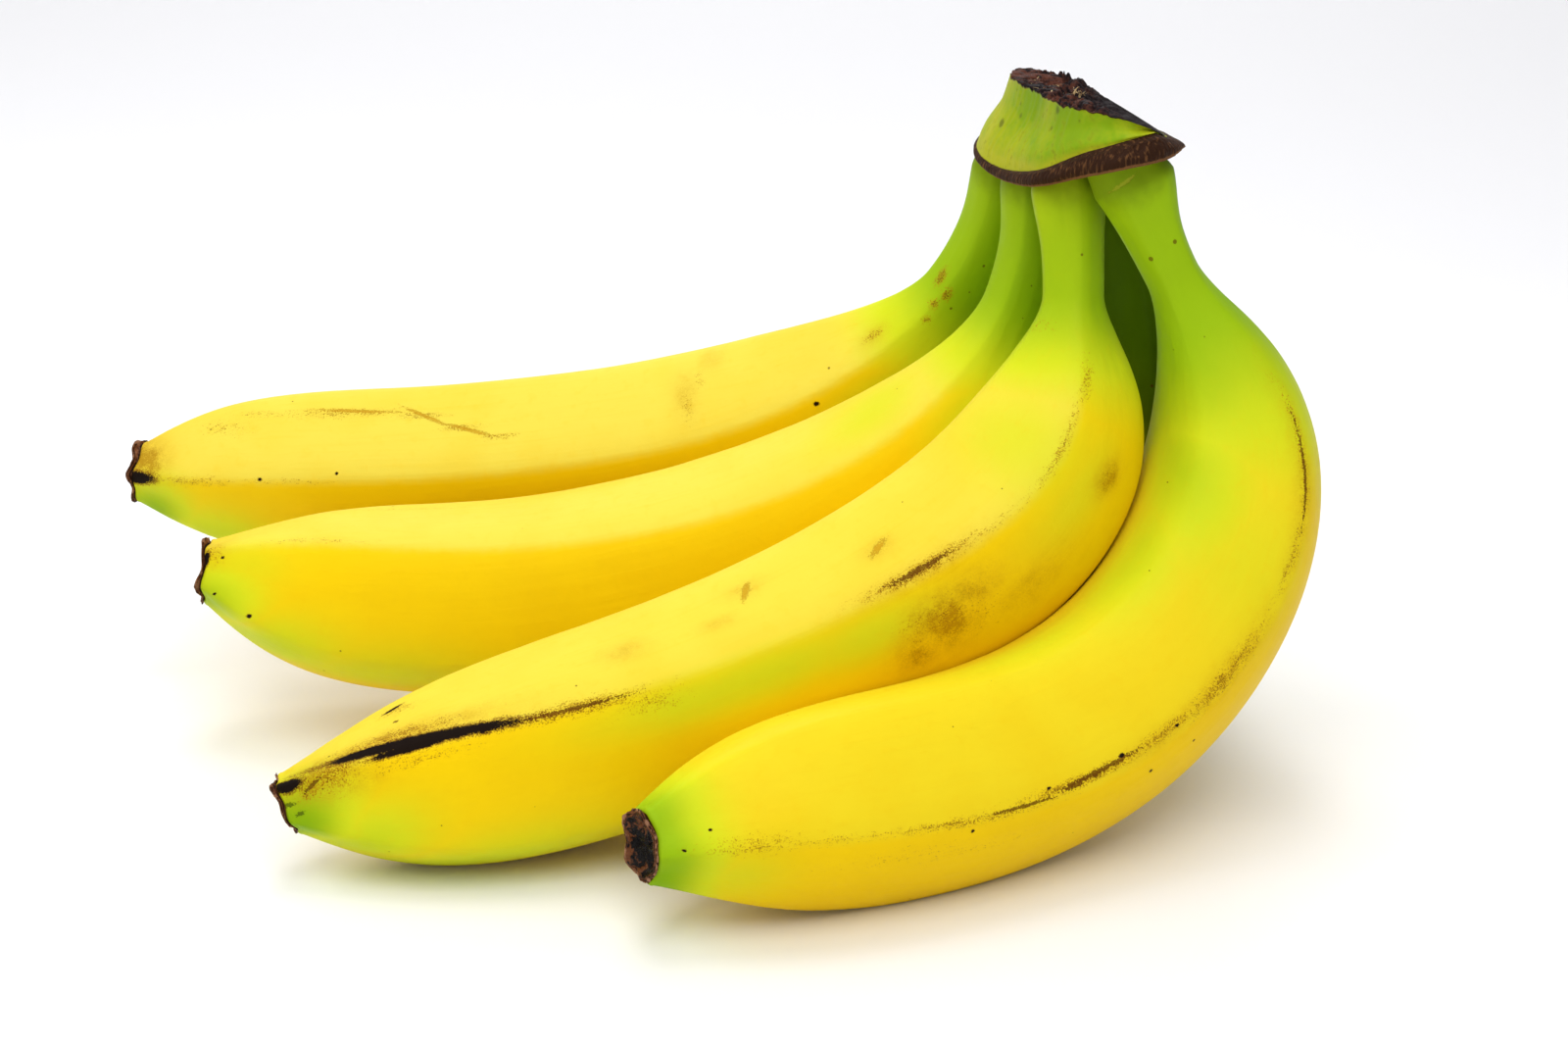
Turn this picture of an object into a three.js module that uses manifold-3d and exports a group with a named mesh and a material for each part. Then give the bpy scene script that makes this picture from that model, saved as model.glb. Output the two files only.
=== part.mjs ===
// A hand of five bananas joined at one crown, lying on three of them.
// Millimetres and degrees. +X runs to the right, +Y to the back and +Z up from the surface it lies on.
import * as THREE from 'three';
import { mergeVertices } from 'three/addons/utils/BufferGeometryUtils.js';
import Module from 'manifold-3d';

const wasm = await Module();
wasm.setup();

// Gap kept between neighbours.
const GAP = 0.3;

// The places below are sketched from a point off the middle; MIDDLE lies under the middle of the
// finished bunch's box, and becomes the origin.
const MIDDLE = [-19.08, 19.54];

// Mesh fineness: sides and rings of a banana, points around the crown, sides of a flower end.
const BANANA_SIDES = 20;
const BANANA_RINGS = 40;
const CROWN_SIDES = 48;
const FLOWER_SIDES = 20;

// The skin's five soft ridges: how far the flats between them sink, as a share of the radius.
const RIDGE_COUNT = 5;
const FLAT_DEPTH = 0.085;
const RIDGE_SHARPNESS = 1.2;

// Shares of a banana's length where the taper to the flower end starts, and the crown's flare ends.
const TAPER_START = 0.62;
const FLARE_LENGTH = 0.035;
const SHOULDER_EASE = 0.2;

// Near the tip the section grows more angular, and the skin's edge runs ahead to one side and a
// little at each ridge: where that starts as a share of the length, and how much.
const TIP_SPAN = 0.12;
const TIP_FLATNESS = 0.06;
const TIP_POINTS = 0.3;
const TIP_CLOSING = 0.4;

// Each banana leaves the crown at base, with a root that runs on up into it and is trimmed there.
// It lies in an upright plane along heading, which leans by lean, and slopes are its dip below
// level at seven even steps along its length, flower end included. Its neck widens into the
// shoulder between the two shares of the length in shoulder; fullness says how fast, bluntness how
// late it tapers to the flower end. ridge is the front ridge's angle from the top, neck and tip, and
// slant is the side where the tip's edge runs furthest ahead and by how much.
const BANANAS = [
  { base: [45.5, 57, 115], root: 5, heading: 176.5, lean: 14, slopes: [-80, -50, -27, -12, -5.5, -1, -1],
    length: 218.6, belly: 19.7, neck: 7, flare: 0.3, shoulder: [0.131, 0.554], fullness: 3.4,
    end: 6.5, bluntness: 4.7, ridge: [61, 64], slant: [110, 1.4] },
  { base: [49.5, 41, 115.5], root: 5, heading: 180, lean: 0, slopes: [-93, -61, -37, -18, -7.5, 4, 17],
    length: 213, belly: 20.75, neck: 6.9, flare: 0, shoulder: [0.11, 0.552], fullness: 2.7,
    end: 6.4, bluntness: 4.7, ridge: [66, 32], slant: [0, 1.2] },
  { base: [54, 26, 118], root: 4, heading: 192.5, lean: -12, slopes: [-94, -79, -38, -24, -16, -9, 1],
    length: 213.9, belly: 21.05, neck: 6.4, flare: 0.5, shoulder: [0.093, 0.52], fullness: 7.2,
    end: 5.6, bluntness: 3.9, ridge: [92, 48], slant: [30, 2.1] },
  { base: [65.2, 17, 120.8], root: 6, heading: 208.4, lean: -12, slopes: [-112, -112, -65, -31, -6, 2, -6],
    length: 214.1, belly: 20.9, neck: 5.5, flare: 1.8, shoulder: [0.088, 0.665], fullness: 6.4,
    end: 7, bluntness: 4, ridge: [107, 97], slant: [180, 0.9] },
  { base: [67, 34, 117], root: 6, heading: 168, lean: 18, slopes: [-96, -97, -76, -38, -12, 0, 8],
    length: 192.5, belly: 17.6, neck: 7, flare: 0.3, shoulder: [0.045, 0.5], fullness: 3.1,
    end: 6.2, bluntness: 4.4, ridge: [100, 84], slant: [60, 0.6] },
];

// The crown's two outlines, each clockwise seen from above from its right end, by twelve places:
// the brown band's lower edge, and the rim of the torn cut above it.
const BAND_EDGE = [
  [75, 19, 127.5], [70.5, 8, 127.2], [62, 4.5, 126], [54.5, 11, 123], [47, 21, 119.5],
  [41.5, 38, 117.8], [38, 52, 119], [40, 65, 120.5], [50, 69, 121], [60, 61, 120.5],
  [69, 48, 121.5], [76, 34, 124.3],
];
const CUT_RIM = [
  [71, 17, 130], [68, 10, 132.3], [63, 8.5, 134.3], [57, 12.5, 135.3], [52, 20, 135],
  [48, 33, 135.5], [44.5, 46, 136], [46, 57, 135.8], [53, 60, 134.8], [60, 53, 133],
  [65, 43, 131.3], [70, 30, 129.6],
];
const BAND_HEIGHT = { left: 1, right: 4.6, from: 35, to: 56 };
const BAND_BULGE = 1.1;
const BAND_GROOVE = 0.5;
const CROWN_HOLLOW = 1.1;
const CUT_ROUGHNESS = 0.9;

// How far the skin runs on past its last full ring as it rounds over to the flower end.
const TIP_ROUNDING = 0.7;

// The dried flower end: its length past the banana's tip, its wavy rim and its hollow with a nub.
const FLOWER_LENGTH = 1.1;
const FLOWER_WAVE = 0.5;
const FLOWER_HOLLOW = 0.6;

const COLOURS = {
  skin: { color: 0xf2cf1c, roughness: 0.45, metalness: 0 },
  crown: { color: 0x9cbc2c, roughness: 0.6, metalness: 0 },
  flower: { color: 0x3a2418, roughness: 0.9, metalness: 0 },
};

const radians = THREE.MathUtils.degToRad;

// Values at even steps, joined by a smooth curve through each of them; share runs from 0 to 1.
function smoothValue(values, share) {
  const last = values.length - 1;
  const before = 2 * values[0] - values[1];
  const after = 2 * values[last] - values[last - 1];
  const padded = [before, ...values, after];
  const step = Math.min(Math.floor(Math.max(share, 0) * last), last - 1);
  const t = share * last - step;
  const [a, b, c, d] = padded.slice(step, step + 4);
  return b + 0.5 * t * (c - a + t * (2 * a - 5 * b + 4 * c - d + t * (3 * (b - c) + d - a)));
}

// The banana's own directions: along its heading, up in its leaning plane, and out of its front.
function bananaPlane(banana) {
  const heading = radians(banana.heading);
  const lean = radians(banana.lean);
  const along = new THREE.Vector3(Math.cos(heading), Math.sin(heading), 0);
  const level = new THREE.Vector3(-Math.sin(heading), Math.cos(heading), 0);
  const vertical = new THREE.Vector3(0, 0, 1);
  const up = vertical.clone().multiplyScalar(Math.cos(lean)).addScaledVector(level, Math.sin(lean));
  const front = level.multiplyScalar(Math.cos(lean)).addScaledVector(vertical, -Math.sin(lean));
  return { along, up, front };
}

// The centre line: its slope is summed in short steps, after a straight root inside the crown.
function bananaCentres(banana) {
  const { along, up, front } = bananaPlane(banana);
  const direction = (share) => {
    const slope = radians(smoothValue(banana.slopes, share));
    return along.clone().multiplyScalar(Math.cos(slope)).addScaledVector(up, Math.sin(slope));
  };
  const skinShare = 1 - (FLOWER_LENGTH + TIP_ROUNDING) / banana.length;
  const step = banana.length * skinShare / BANANA_RINGS;
  const base = new THREE.Vector3(...banana.base);
  const start = direction(0);
  const rootEnd = base.clone().addScaledVector(start, -banana.root);
  const centres = [{ point: rootEnd, tangent: start, share: 0, front }];
  const point = base.clone();
  for (let ring = 0; ring <= BANANA_RINGS; ring += 1) {
    const share = skinShare * ring / BANANA_RINGS;
    centres.push({ point: point.clone(), tangent: direction(share), share, front });
    point.addScaledVector(direction(share + 0.5 * skinShare / BANANA_RINGS), step);
  }
  return centres;
}

// Radius along the length: a neck, a shoulder that rises to the belly, and a taper to the end.
function bananaRadius(banana, share) {
  const [first, last] = banana.shoulder;
  const t = THREE.MathUtils.clamp((share - first) / (last - first), 0, 1);
  const eased = Math.min(t * t / (t + SHOULDER_EASE) * (1 + SHOULDER_EASE), 1);
  const rise = 1 - (1 - eased) ** banana.fullness;
  const neck = banana.neck + banana.flare * Math.exp(-share / FLARE_LENGTH);
  const full = neck + (banana.belly - banana.neck) * rise;
  const w = THREE.MathUtils.clamp((share - TAPER_START) / (1 - TAPER_START), 0, 1);
  return banana.end + (full - banana.end) * (1 - w ** banana.bluntness) ** 1.2;
}

// Five soft ridges around the section; the flats between them lie a little lower.
function ridged(banana, share, angle) {
  const ridge = radians(THREE.MathUtils.lerp(banana.ridge[0], banana.ridge[1], share));
  const wave = Math.abs(Math.sin(RIDGE_COUNT / 2 * (angle - ridge)));
  const depth = FLAT_DEPTH + TIP_FLATNESS * THREE.MathUtils.smoothstep(share, 1 - TIP_SPAN, 1);
  return 1 - depth * wave ** RIDGE_SHARPNESS;
}

// How far the skin's edge at the tip runs ahead at an angle.
function tipReach(banana, share, angle) {
  const [side, slant] = banana.slant;
  const points = TIP_POINTS * Math.cos(RIDGE_COUNT * (angle - radians(banana.ridge[1])));
  const reach = slant * Math.cos(angle - radians(side)) + points;
  return reach * THREE.MathUtils.smoothstep(share, 1 - TIP_SPAN, 1);
}

// A closed skin over rings of points, each ring clockwise seen from the last ring's end, and a
// point at each end.
function skinOverRings(rings, firstPoint, lastPoint) {
  const sides = rings[0].length;
  const positions = [...rings.flat(), firstPoint, lastPoint].flatMap((p) => [p.x, p.y, p.z]);
  const firstIndex = rings.length * sides;
  const lastIndex = firstIndex + 1;
  const index = [];
  for (let side = 0; side < sides; side += 1) {
    const next = (side + 1) % sides;
    index.push(firstIndex, side, next);
    for (let ring = 0; ring < rings.length - 1; ring += 1) {
      const a = ring * sides + side;
      const b = ring * sides + next;
      index.push(a, a + sides, b, b, a + sides, b + sides);
    }
    const lastRing = (rings.length - 1) * sides;
    index.push(lastIndex, lastRing + next, lastRing + side);
  }
  const geometry = new THREE.BufferGeometry();
  geometry.setAttribute('position', new THREE.Float32BufferAttribute(positions, 3));
  geometry.setIndex(index);
  return geometry;
}

// A ring of points around a centre, starting from the top and turning through the front; it runs
// ahead along the centre line by reachAt.
function ringAround(centre, sides, radiusAt, reachAt) {
  const top = new THREE.Vector3().crossVectors(centre.tangent, centre.front).normalize();
  const ring = [];
  for (let side = 0; side < sides; side += 1) {
    const angle = 2 * Math.PI * side / sides;
    const radius = radiusAt(angle);
    const point = centre.point.clone().addScaledVector(top, radius * Math.cos(angle));
    point.addScaledVector(centre.tangent, reachAt(angle));
    ring.push(point.addScaledVector(centre.front, radius * Math.sin(angle)));
  }
  return ring;
}

// One banana with its neck; spare makes it larger all over, to clear a neighbour by that much.
function bananaGeometry(banana, spare = 0) {
  const centres = bananaCentres(banana);
  const tip = centres[centres.length - 1];
  const inward = (width, along) => ({
    ...tip, width, point: tip.point.clone().addScaledVector(tip.tangent, along),
  });
  const stations = [...centres, inward(0.95, TIP_ROUNDING * 0.7), inward(0.86, TIP_ROUNDING)];
  const rings = stations.map((station) => {
    const { share, width = 1 } = station;
    const radiusAt = (angle) => {
      const radius = bananaRadius(banana, share) - TIP_CLOSING * tipReach(banana, share, angle);
      return radius * ridged(banana, share, angle) * width + spare;
    };
    return ringAround(station, BANANA_SIDES, radiusAt, (angle) => tipReach(banana, share, angle) * width);
  });
  return skinOverRings(rings, centres[0].point, inward(0, TIP_ROUNDING).point);
}

// The shrivelled flower end: a low ring as wide as the skin's edge, folded into a hollow with a nub.
function flowerGeometry(banana, number) {
  const centres = bananaCentres(banana);
  const tip = centres[centres.length - 1];
  const profile = [
    [0, 0.84], [0.45, 0.9], [0.85, 0.92], [1, 0.84], [0.85, 0.68],
    [1 - FLOWER_HOLLOW / FLOWER_LENGTH, 0.45], [0.55, 0.26], [0.7, 0.14],
  ];
  const root = bananaRadius(banana, tip.share);
  const start = TIP_ROUNDING + GAP;
  const place = (share) => tip.point.clone().addScaledVector(tip.tangent, start + share * FLOWER_LENGTH);
  const rings = profile.map(([share, width]) => {
    const radiusAt = (angle) => {
      const folds = Math.sin(5 * angle + number) + 0.5 * Math.sin(8 * angle - 2 * number);
      const radius = root - TIP_CLOSING * tipReach(banana, 1, angle);
      return radius * ridged(banana, 1, angle) * width + 0.12 * share * folds;
    };
    const reachAt = (angle) => {
      const wave = Math.sin(3 * angle + 2 * number) + 0.6 * Math.sin(7 * angle + number);
      return tipReach(banana, 1, angle) * width + FLOWER_WAVE * 0.5 * wave * share * share;
    };
    return ringAround({ ...tip, point: place(share) }, FLOWER_SIDES, radiusAt, reachAt);
  });
  return skinOverRings(rings, place(0), place(0.78));
}

// A closed smooth outline through its places, as even points that match from outline to outline.
function outline(places) {
  const corners = places.map((place) => new THREE.Vector3(...place));
  const curve = new THREE.CatmullRomCurve3(corners, true, 'catmullrom', 0.5);
  const points = [];
  for (let side = 0; side < CROWN_SIDES; side += 1) {
    points.push(curve.getPoint(side / CROWN_SIDES));
  }
  return points;
}

// Points between two outlines, pushed outwards from the crown's middle and lifted.
function between(lower, upper, share, push, lift) {
  const middle = outlineMiddle(lower);
  return lower.map((point, side) => {
    const away = point.clone().sub(middle).setZ(0).normalize();
    const placed = point.clone().lerp(upper[side], share).addScaledVector(away, push(side));
    placed.z += lift;
    return placed;
  });
}

function outlineMiddle(points) {
  const sum = points.reduce((total, point) => total.add(point), new THREE.Vector3());
  return sum.divideScalar(points.length);
}

// Torn fibres on the cut: crossing waves, deeper towards the middle.
function tornHeight(x, y) {
  const strands = Math.sin(0.9 * x + 0.35 * y) + 0.7 * Math.sin(0.5 * y - 1.3 * x + 2);
  return CUT_ROUGHNESS * 0.5 * (strands + 0.6 * Math.sin(1.7 * y + 0.4 * x + 1));
}

// The crown: brown band under a green shoulder that leans in to the torn, slanting cut.
function crownGeometry() {
  const edge = outline(BAND_EDGE);
  const rim = outline(CUT_RIM);
  const heights = edge.map((point) => {
    const across = THREE.MathUtils.smoothstep(point.x, BAND_HEIGHT.from, BAND_HEIGHT.to);
    return THREE.MathUtils.lerp(BAND_HEIGHT.left, BAND_HEIGHT.right, across);
  });
  const bandTop = edge.map((point, side) => {
    const rise = Math.min(heights[side] / (rim[side].z - point.z), 0.9);
    return point.clone().lerp(rim[side], rise);
  });
  const inBand = (push) => (side) => push * heights[side] / BAND_HEIGHT.right;
  const under = between(edge, rim, 0, () => -2.5, 0.4);
  const rings = [
    under,
    edge,
    between(edge, bandTop, 0.4, inBand(BAND_BULGE), 0),
    between(edge, bandTop, 0.85, inBand(BAND_BULGE * 0.8), 0),
    between(edge, bandTop, 1, inBand(-BAND_GROOVE), 0.1),
    between(bandTop, rim, 0.25, () => 0.2, 0),
    between(bandTop, rim, 0.6, () => -CROWN_HOLLOW, 0),
    between(bandTop, rim, 0.9, () => -CROWN_HOLLOW / 2, 0),
    rim,
  ];
  const middle = outlineMiddle(rim);
  for (const share of [0.12, 0.35, 0.58, 0.8]) {
    rings.push(rim.map((point) => {
      const inner = point.clone().lerp(middle, share);
      inner.z += tornHeight(inner.x, inner.y) * Math.min(share * 4, 1);
      return inner;
    }));
  }
  return skinOverRings(rings, outlineMiddle(under).add(new THREE.Vector3(0, 0, 0.4)), middle);
}

// A slab whose top is the surface the bananas rest on; it takes off what would sink below.
function surfaceSlab() {
  const slab = new THREE.BoxGeometry(600, 600, 40);
  slab.translate(0, 0, -20);
  return slab;
}

function solid(geometry) {
  const bare = geometry.clone();
  bare.deleteAttribute('normal');
  bare.deleteAttribute('uv');
  const merged = mergeVertices(bare, 1e-4);
  return new wasm.Manifold(new wasm.Mesh({
    numProp: 3,
    vertProperties: new Float32Array(merged.attributes.position.array),
    triVerts: new Uint32Array(merged.index.array),
  }));
}

function namedMesh(name, manifold, colour) {
  const mesh = manifold.getMesh();
  const geometry = new THREE.BufferGeometry();
  geometry.setAttribute('position', new THREE.BufferAttribute(new Float32Array(mesh.vertProperties), 3));
  geometry.setIndex(new THREE.BufferAttribute(new Uint32Array(mesh.triVerts), 1));
  const named = new THREE.Mesh(geometry, new THREE.MeshStandardMaterial(colour));
  named.name = name;
  return named;
}

// Bananas are trimmed under the crown, at the surface, and where one presses on the one before it.
function bananaSolid(number, crownClearance) {
  let banana = solid(bananaGeometry(BANANAS[number]));
  banana = banana.subtract(crownClearance).subtract(solid(surfaceSlab()));
  for (let other = 0; other < number; other += 1) {
    banana = banana.subtract(solid(bananaGeometry(BANANAS[other], GAP)));
  }
  return banana;
}

const bunch = new THREE.Group();
const crown = solid(crownGeometry());
const crownClearance = crown.translate([0, 0, -GAP]);
bunch.add(namedMesh('crown', crown, COLOURS.crown));
BANANAS.forEach((banana, number) => {
  bunch.add(namedMesh(`banana_${number + 1}`, bananaSolid(number, crownClearance), COLOURS.skin));
  bunch.add(namedMesh(`flower_end_${number + 1}`, solid(flowerGeometry(banana, number)), COLOURS.flower));
});

bunch.position.set(-MIDDLE[0], -MIDDLE[1], 0);

export default bunch;
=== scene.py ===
"""A bunch of bananas: fine skins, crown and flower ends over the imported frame, on a pale stage.

Shapes are worked out in millimetres and turned into metres as they become meshes. +X runs to the
right, +Y to the back and +Z up from the surface that the bunch lies on.
"""
import math

import bpy
import numpy as np
from bpy.props import FloatProperty, FloatVectorProperty, IntProperty, PointerProperty
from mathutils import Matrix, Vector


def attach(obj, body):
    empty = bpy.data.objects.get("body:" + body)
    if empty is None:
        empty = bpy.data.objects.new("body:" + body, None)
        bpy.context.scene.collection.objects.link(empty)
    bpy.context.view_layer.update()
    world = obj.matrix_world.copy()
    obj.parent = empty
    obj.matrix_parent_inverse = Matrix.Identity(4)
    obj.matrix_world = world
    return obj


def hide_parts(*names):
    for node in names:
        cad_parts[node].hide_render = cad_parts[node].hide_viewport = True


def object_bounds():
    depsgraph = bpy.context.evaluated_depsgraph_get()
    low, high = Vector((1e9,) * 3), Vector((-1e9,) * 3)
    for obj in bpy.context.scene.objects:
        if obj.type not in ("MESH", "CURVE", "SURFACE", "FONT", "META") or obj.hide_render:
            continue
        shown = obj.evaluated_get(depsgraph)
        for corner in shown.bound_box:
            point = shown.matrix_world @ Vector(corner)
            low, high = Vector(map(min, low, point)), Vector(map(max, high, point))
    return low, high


bl_info = {
    "name": "Banana Bunch",
    "version": (1, 0, 0),
    "blender": (4, 5, 0),
    "location": "3D View > Sidebar > Bananas",
    "description": "Ridged banana skins, a torn crown and dried flower ends, on a pale stage",
    "category": "Object",
}

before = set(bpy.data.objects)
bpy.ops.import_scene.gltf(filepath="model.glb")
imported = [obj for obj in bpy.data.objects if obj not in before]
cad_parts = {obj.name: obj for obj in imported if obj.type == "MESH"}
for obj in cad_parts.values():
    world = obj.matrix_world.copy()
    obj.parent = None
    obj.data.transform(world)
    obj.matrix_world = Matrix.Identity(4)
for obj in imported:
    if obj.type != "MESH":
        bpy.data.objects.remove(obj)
CAD_LOW, CAD_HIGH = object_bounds()

MM = 0.001
BODY = "root"

# The bunch is sketched from a point off the middle, and MIDDLE lies under the middle of its box.
MIDDLE = np.array([-19.08, 19.54, 0.0])

# The skin's five soft ridges and how a banana's radius starts to taper, as in the solids.
RIDGE_COUNT = 5
FLAT_DEPTH = 0.085
RIDGE_SHARPNESS = 1.2
TAPER_START = 0.62
FLARE_LENGTH = 0.035
SHOULDER_EASE = 0.2
TIP_SPAN = 0.12
TIP_FLATNESS = 0.06
TIP_POINTS = 0.3
TIP_CLOSING = 0.4
TIP_ROUNDING = 0.7
TAPER_POWER = 1.2
FLOWER_LENGTH = 1.1
NEIGHBOUR_GAP = 0.15

# Each banana leaves the crown at base, with root millimetres more inside it, and lies in an upright
# plane along heading, leaning by lean. slopes are its dip below level at seven even steps along its
# length. belly, neck and end are radii, and flare is the neck's extra radius at the crown. The neck
# widens between the two shares of the length in shoulder, faster for a larger fullness, and a larger
# bluntness keeps the belly's width nearer to the tip. ridge is the front ridge's angle from the top
# at the neck and at the tip, and slant is the side where the tip's edge runs furthest ahead and by
# how much.
BANANAS = [
    dict(base=(45.5, 57, 115), root=5, heading=176.5, lean=14, slopes=(-80, -50, -27, -12, -5.5, -1, -1),
         length=218.6, belly=19.7, neck=7, flare=0.3, shoulder=(0.131, 0.554), fullness=3.4,
         end=6.5, bluntness=4.7, ridge=(61, 64), slant=(110, 1.4)),
    dict(base=(49.5, 41, 115.5), root=5, heading=180, lean=0, slopes=(-93, -61, -37, -18, -7.5, 4, 17),
         length=213, belly=20.75, neck=6.9, flare=0, shoulder=(0.11, 0.552), fullness=2.7,
         end=6.4, bluntness=4.7, ridge=(66, 32), slant=(0, 1.2)),
    dict(base=(54, 26, 118), root=4, heading=192.5, lean=-12, slopes=(-94, -79, -38, -24, -16, -9, 1),
         length=213.9, belly=21.05, neck=6.4, flare=0.5, shoulder=(0.093, 0.52), fullness=7.2,
         end=5.6, bluntness=3.9, ridge=(92, 48), slant=(30, 2.1)),
    dict(base=(65.2, 17, 120.8), root=6, heading=208.4, lean=-12,
         slopes=(-112, -112, -65, -31, -6, 2, -6),
         length=214.1, belly=20.9, neck=5.5, flare=1.8, shoulder=(0.088, 0.665), fullness=6.4,
         end=7, bluntness=4, ridge=(107, 97), slant=(180, 0.9)),
    dict(base=(67, 34, 117), root=6, heading=168, lean=18, slopes=(-96, -97, -76, -38, -12, 0, 8),
         length=192.5, belly=17.6, neck=7, flare=0.3, shoulder=(0.045, 0.5), fullness=3.1,
         end=6.2, bluntness=4.4, ridge=(100, 84), slant=(60, 0.6)),
]

# The crown's two outlines, each clockwise seen from above from its right end, by twelve places:
# the brown band's lower edge, and the rim of the torn cut above it.
BAND_EDGE = [
    (75, 19, 127.5), (70.5, 8, 127.2), (62, 4.5, 126), (54.5, 11, 123), (47, 21, 119.5),
    (41.5, 38, 117.8), (38, 52, 119), (40, 65, 120.5), (50, 69, 121), (60, 61, 120.5),
    (69, 48, 121.5), (76, 34, 124.3),
]
CUT_RIM = [
    (71, 17, 130), (68, 10, 132.3), (63, 8.5, 134.3), (57, 12.5, 135.3), (52, 20, 135),
    (48, 33, 135.5), (44.5, 46, 136), (46, 57, 135.8), (53, 60, 134.8), (60, 53, 133),
    (65, 43, 131.3), (70, 30, 129.6),
]
# The band grows from its left height to its right one over BAND_SPREAD. It bulges, with a groove
# above it, and the green skin above is hollow.
BAND_HEIGHT_LEFT = 1.0
BAND_HEIGHT_RIGHT = 4.6
BAND_SPREAD = (35, 56)
BAND_BULGE = 1.1
BAND_GROOVE = 0.5
CROWN_HOLLOW = 1.1
CUT_ROUGHNESS = 0.9


# --- Curves and noise -------------------------------------------------------------------------

def smooth_values(values, share):
    """Values at even steps, joined by a Catmull-Rom curve: each stretch is the cubic that passes
    through its two ends with the slope of the line between their neighbours."""
    values = np.asarray(values, float)
    last = len(values) - 1
    before, after = 2 * values[0] - values[1], 2 * values[-1] - values[-2]
    padded = np.concatenate(([before], values, [after]))
    return catmull_rom(padded, share * last, last)


def catmull_rom(padded, place, spans):
    """The cubic through padded's stretches at place, counted in stretches from the second value,
    where a value is a number, a point or a whole outline."""
    step = np.clip(np.floor(place).astype(int), 0, spans - 1)
    t = place - step
    t = t.reshape(t.shape + (1,) * (padded.ndim - 1))
    a, b, c, d = (padded[step + offset] for offset in range(4))
    return b + 0.5 * t * (c - a + t * (2 * a - 5 * b + 4 * c - d + t * (3 * (b - c) + d - a)))


def closed_outline(places, count):
    """A closed Catmull-Rom curve through the places, as count points at even parameter steps."""
    places = np.asarray(places, float)
    padded = np.concatenate((places[-1:], places, places[:2]))
    return catmull_rom(padded, np.arange(count) * len(places) / count, len(places))


# How many random values a lattice draws, and the primes that pick one for a corner's coordinates.
NOISE_VALUES = 4096
NOISE_PRIMES = (73856093, 19349663, 83492791)


def lattice_noise(points, size, seed):
    """Smooth noise from -1 to 1: a seeded random value at each corner of a lattice of cells of
    that size, blended across the cell by the cubic 3t^2 - 2t^3 along each axis."""
    table = np.random.default_rng(seed).uniform(-1, 1, NOISE_VALUES)
    scaled = np.asarray(points, float) / size
    cell = np.floor(scaled).astype(np.int64)
    t = scaled - cell
    blend = t * t * (3 - 2 * t)
    total = np.zeros(scaled.shape[:-1])
    for corner in np.ndindex(2, 2, 2):
        x, y, z = ((cell[..., axis] + corner[axis]) * NOISE_PRIMES[axis] for axis in range(3))
        index = (x ^ y ^ z) & (NOISE_VALUES - 1)
        weight = np.ones_like(total)
        for axis in range(3):
            weight = weight * (blend[..., axis] if corner[axis] else 1 - blend[..., axis])
        total += weight * table[index]
    return total


def smooth_step(values, low, high):
    """0 below low, 1 above high, and the cubic 3t^2 - 2t^3 between them."""
    t = np.clip((values - low) / (high - low), 0, 1)
    return t * t * (3 - 2 * t)


def level_outward(points, middle):
    """Level directions away from the middle."""
    away = (points - middle) * np.array([1, 1, 0])
    return away / np.maximum(np.linalg.norm(away, axis=-1, keepdims=True), 1e-6)


def full_turn(rows, sides):
    """The angles round a ring from its first point, for each of some rows."""
    return np.broadcast_to(np.arange(sides) * 2 * math.pi / sides, (rows, sides))


# --- Meshes -----------------------------------------------------------------------------------

def mesh_object(name, points, faces):
    """A smooth mesh object from points in metres, in the scene."""
    mesh = bpy.data.meshes.new(name)
    mesh.from_pydata(points.tolist(), [], faces)
    mesh.shade_smooth()
    mesh.validate()
    made = bpy.data.objects.new(name, mesh)
    bpy.context.scene.collection.objects.link(made)
    return made


def placed_mesh(name, points, faces):
    """A mesh object from points in the sketch's millimetres, kept inside the solids' box."""
    return mesh_object(name, np.clip((points - MIDDLE) * MM, CAD_LOW, CAD_HIGH), faces)


def ring_quads(count, sides):
    """Quads between neighbouring rings of points, which are numbered ring by ring."""
    ring, side = np.meshgrid(np.arange(count - 1), np.arange(sides), indexing="ij")
    a, b = ring * sides + side, ring * sides + (side + 1) % sides
    return np.stack((a, a + sides, b + sides, b), axis=-1).reshape(-1, 4)


def tube_mesh(name, rings, first_point, last_point):
    """A closed skin over a grid of rings, each ring turning the same way, with a point that closes
    each end: quads between neighbouring rings, and a fan of triangles at either end."""
    count, sides = rings.shape[:2]
    around = np.arange(sides)
    ahead = (around + 1) % sides
    first, last = count * sides, count * sides + 1
    offset = (count - 1) * sides
    start_fan = np.stack((np.full(sides, first), around, ahead), axis=-1)
    end_fan = np.stack((np.full(sides, last), offset + ahead, offset + around), axis=-1)
    points = np.concatenate((rings.reshape(-1, 3), [first_point], [last_point]))
    faces = ring_quads(count, sides).tolist() + start_fan.tolist() + end_fan.tolist()
    return placed_mesh(name, points, faces)


def add_attribute(piece, name, values):
    """A number or a vector for each vertex, which the materials read by name."""
    values = np.asarray(values, np.float32)
    kind, field = ("FLOAT", "value") if values.ndim == 1 else ("FLOAT_VECTOR", "vector")
    attribute = piece.data.attributes.new(name, kind, "POINT")
    attribute.data.foreach_set(field, values.ravel())


# --- Bananas ----------------------------------------------------------------------------------

# The millimetres along each banana where its green neck starts to turn and where it is ripe, and
# how green the neck is.
GREEN_NECKS = [(22, 62, 0.96), (18, 58, 0.97), (18, 52, 0.86), (22, 78, 1), (34, 108, 1)]

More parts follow.
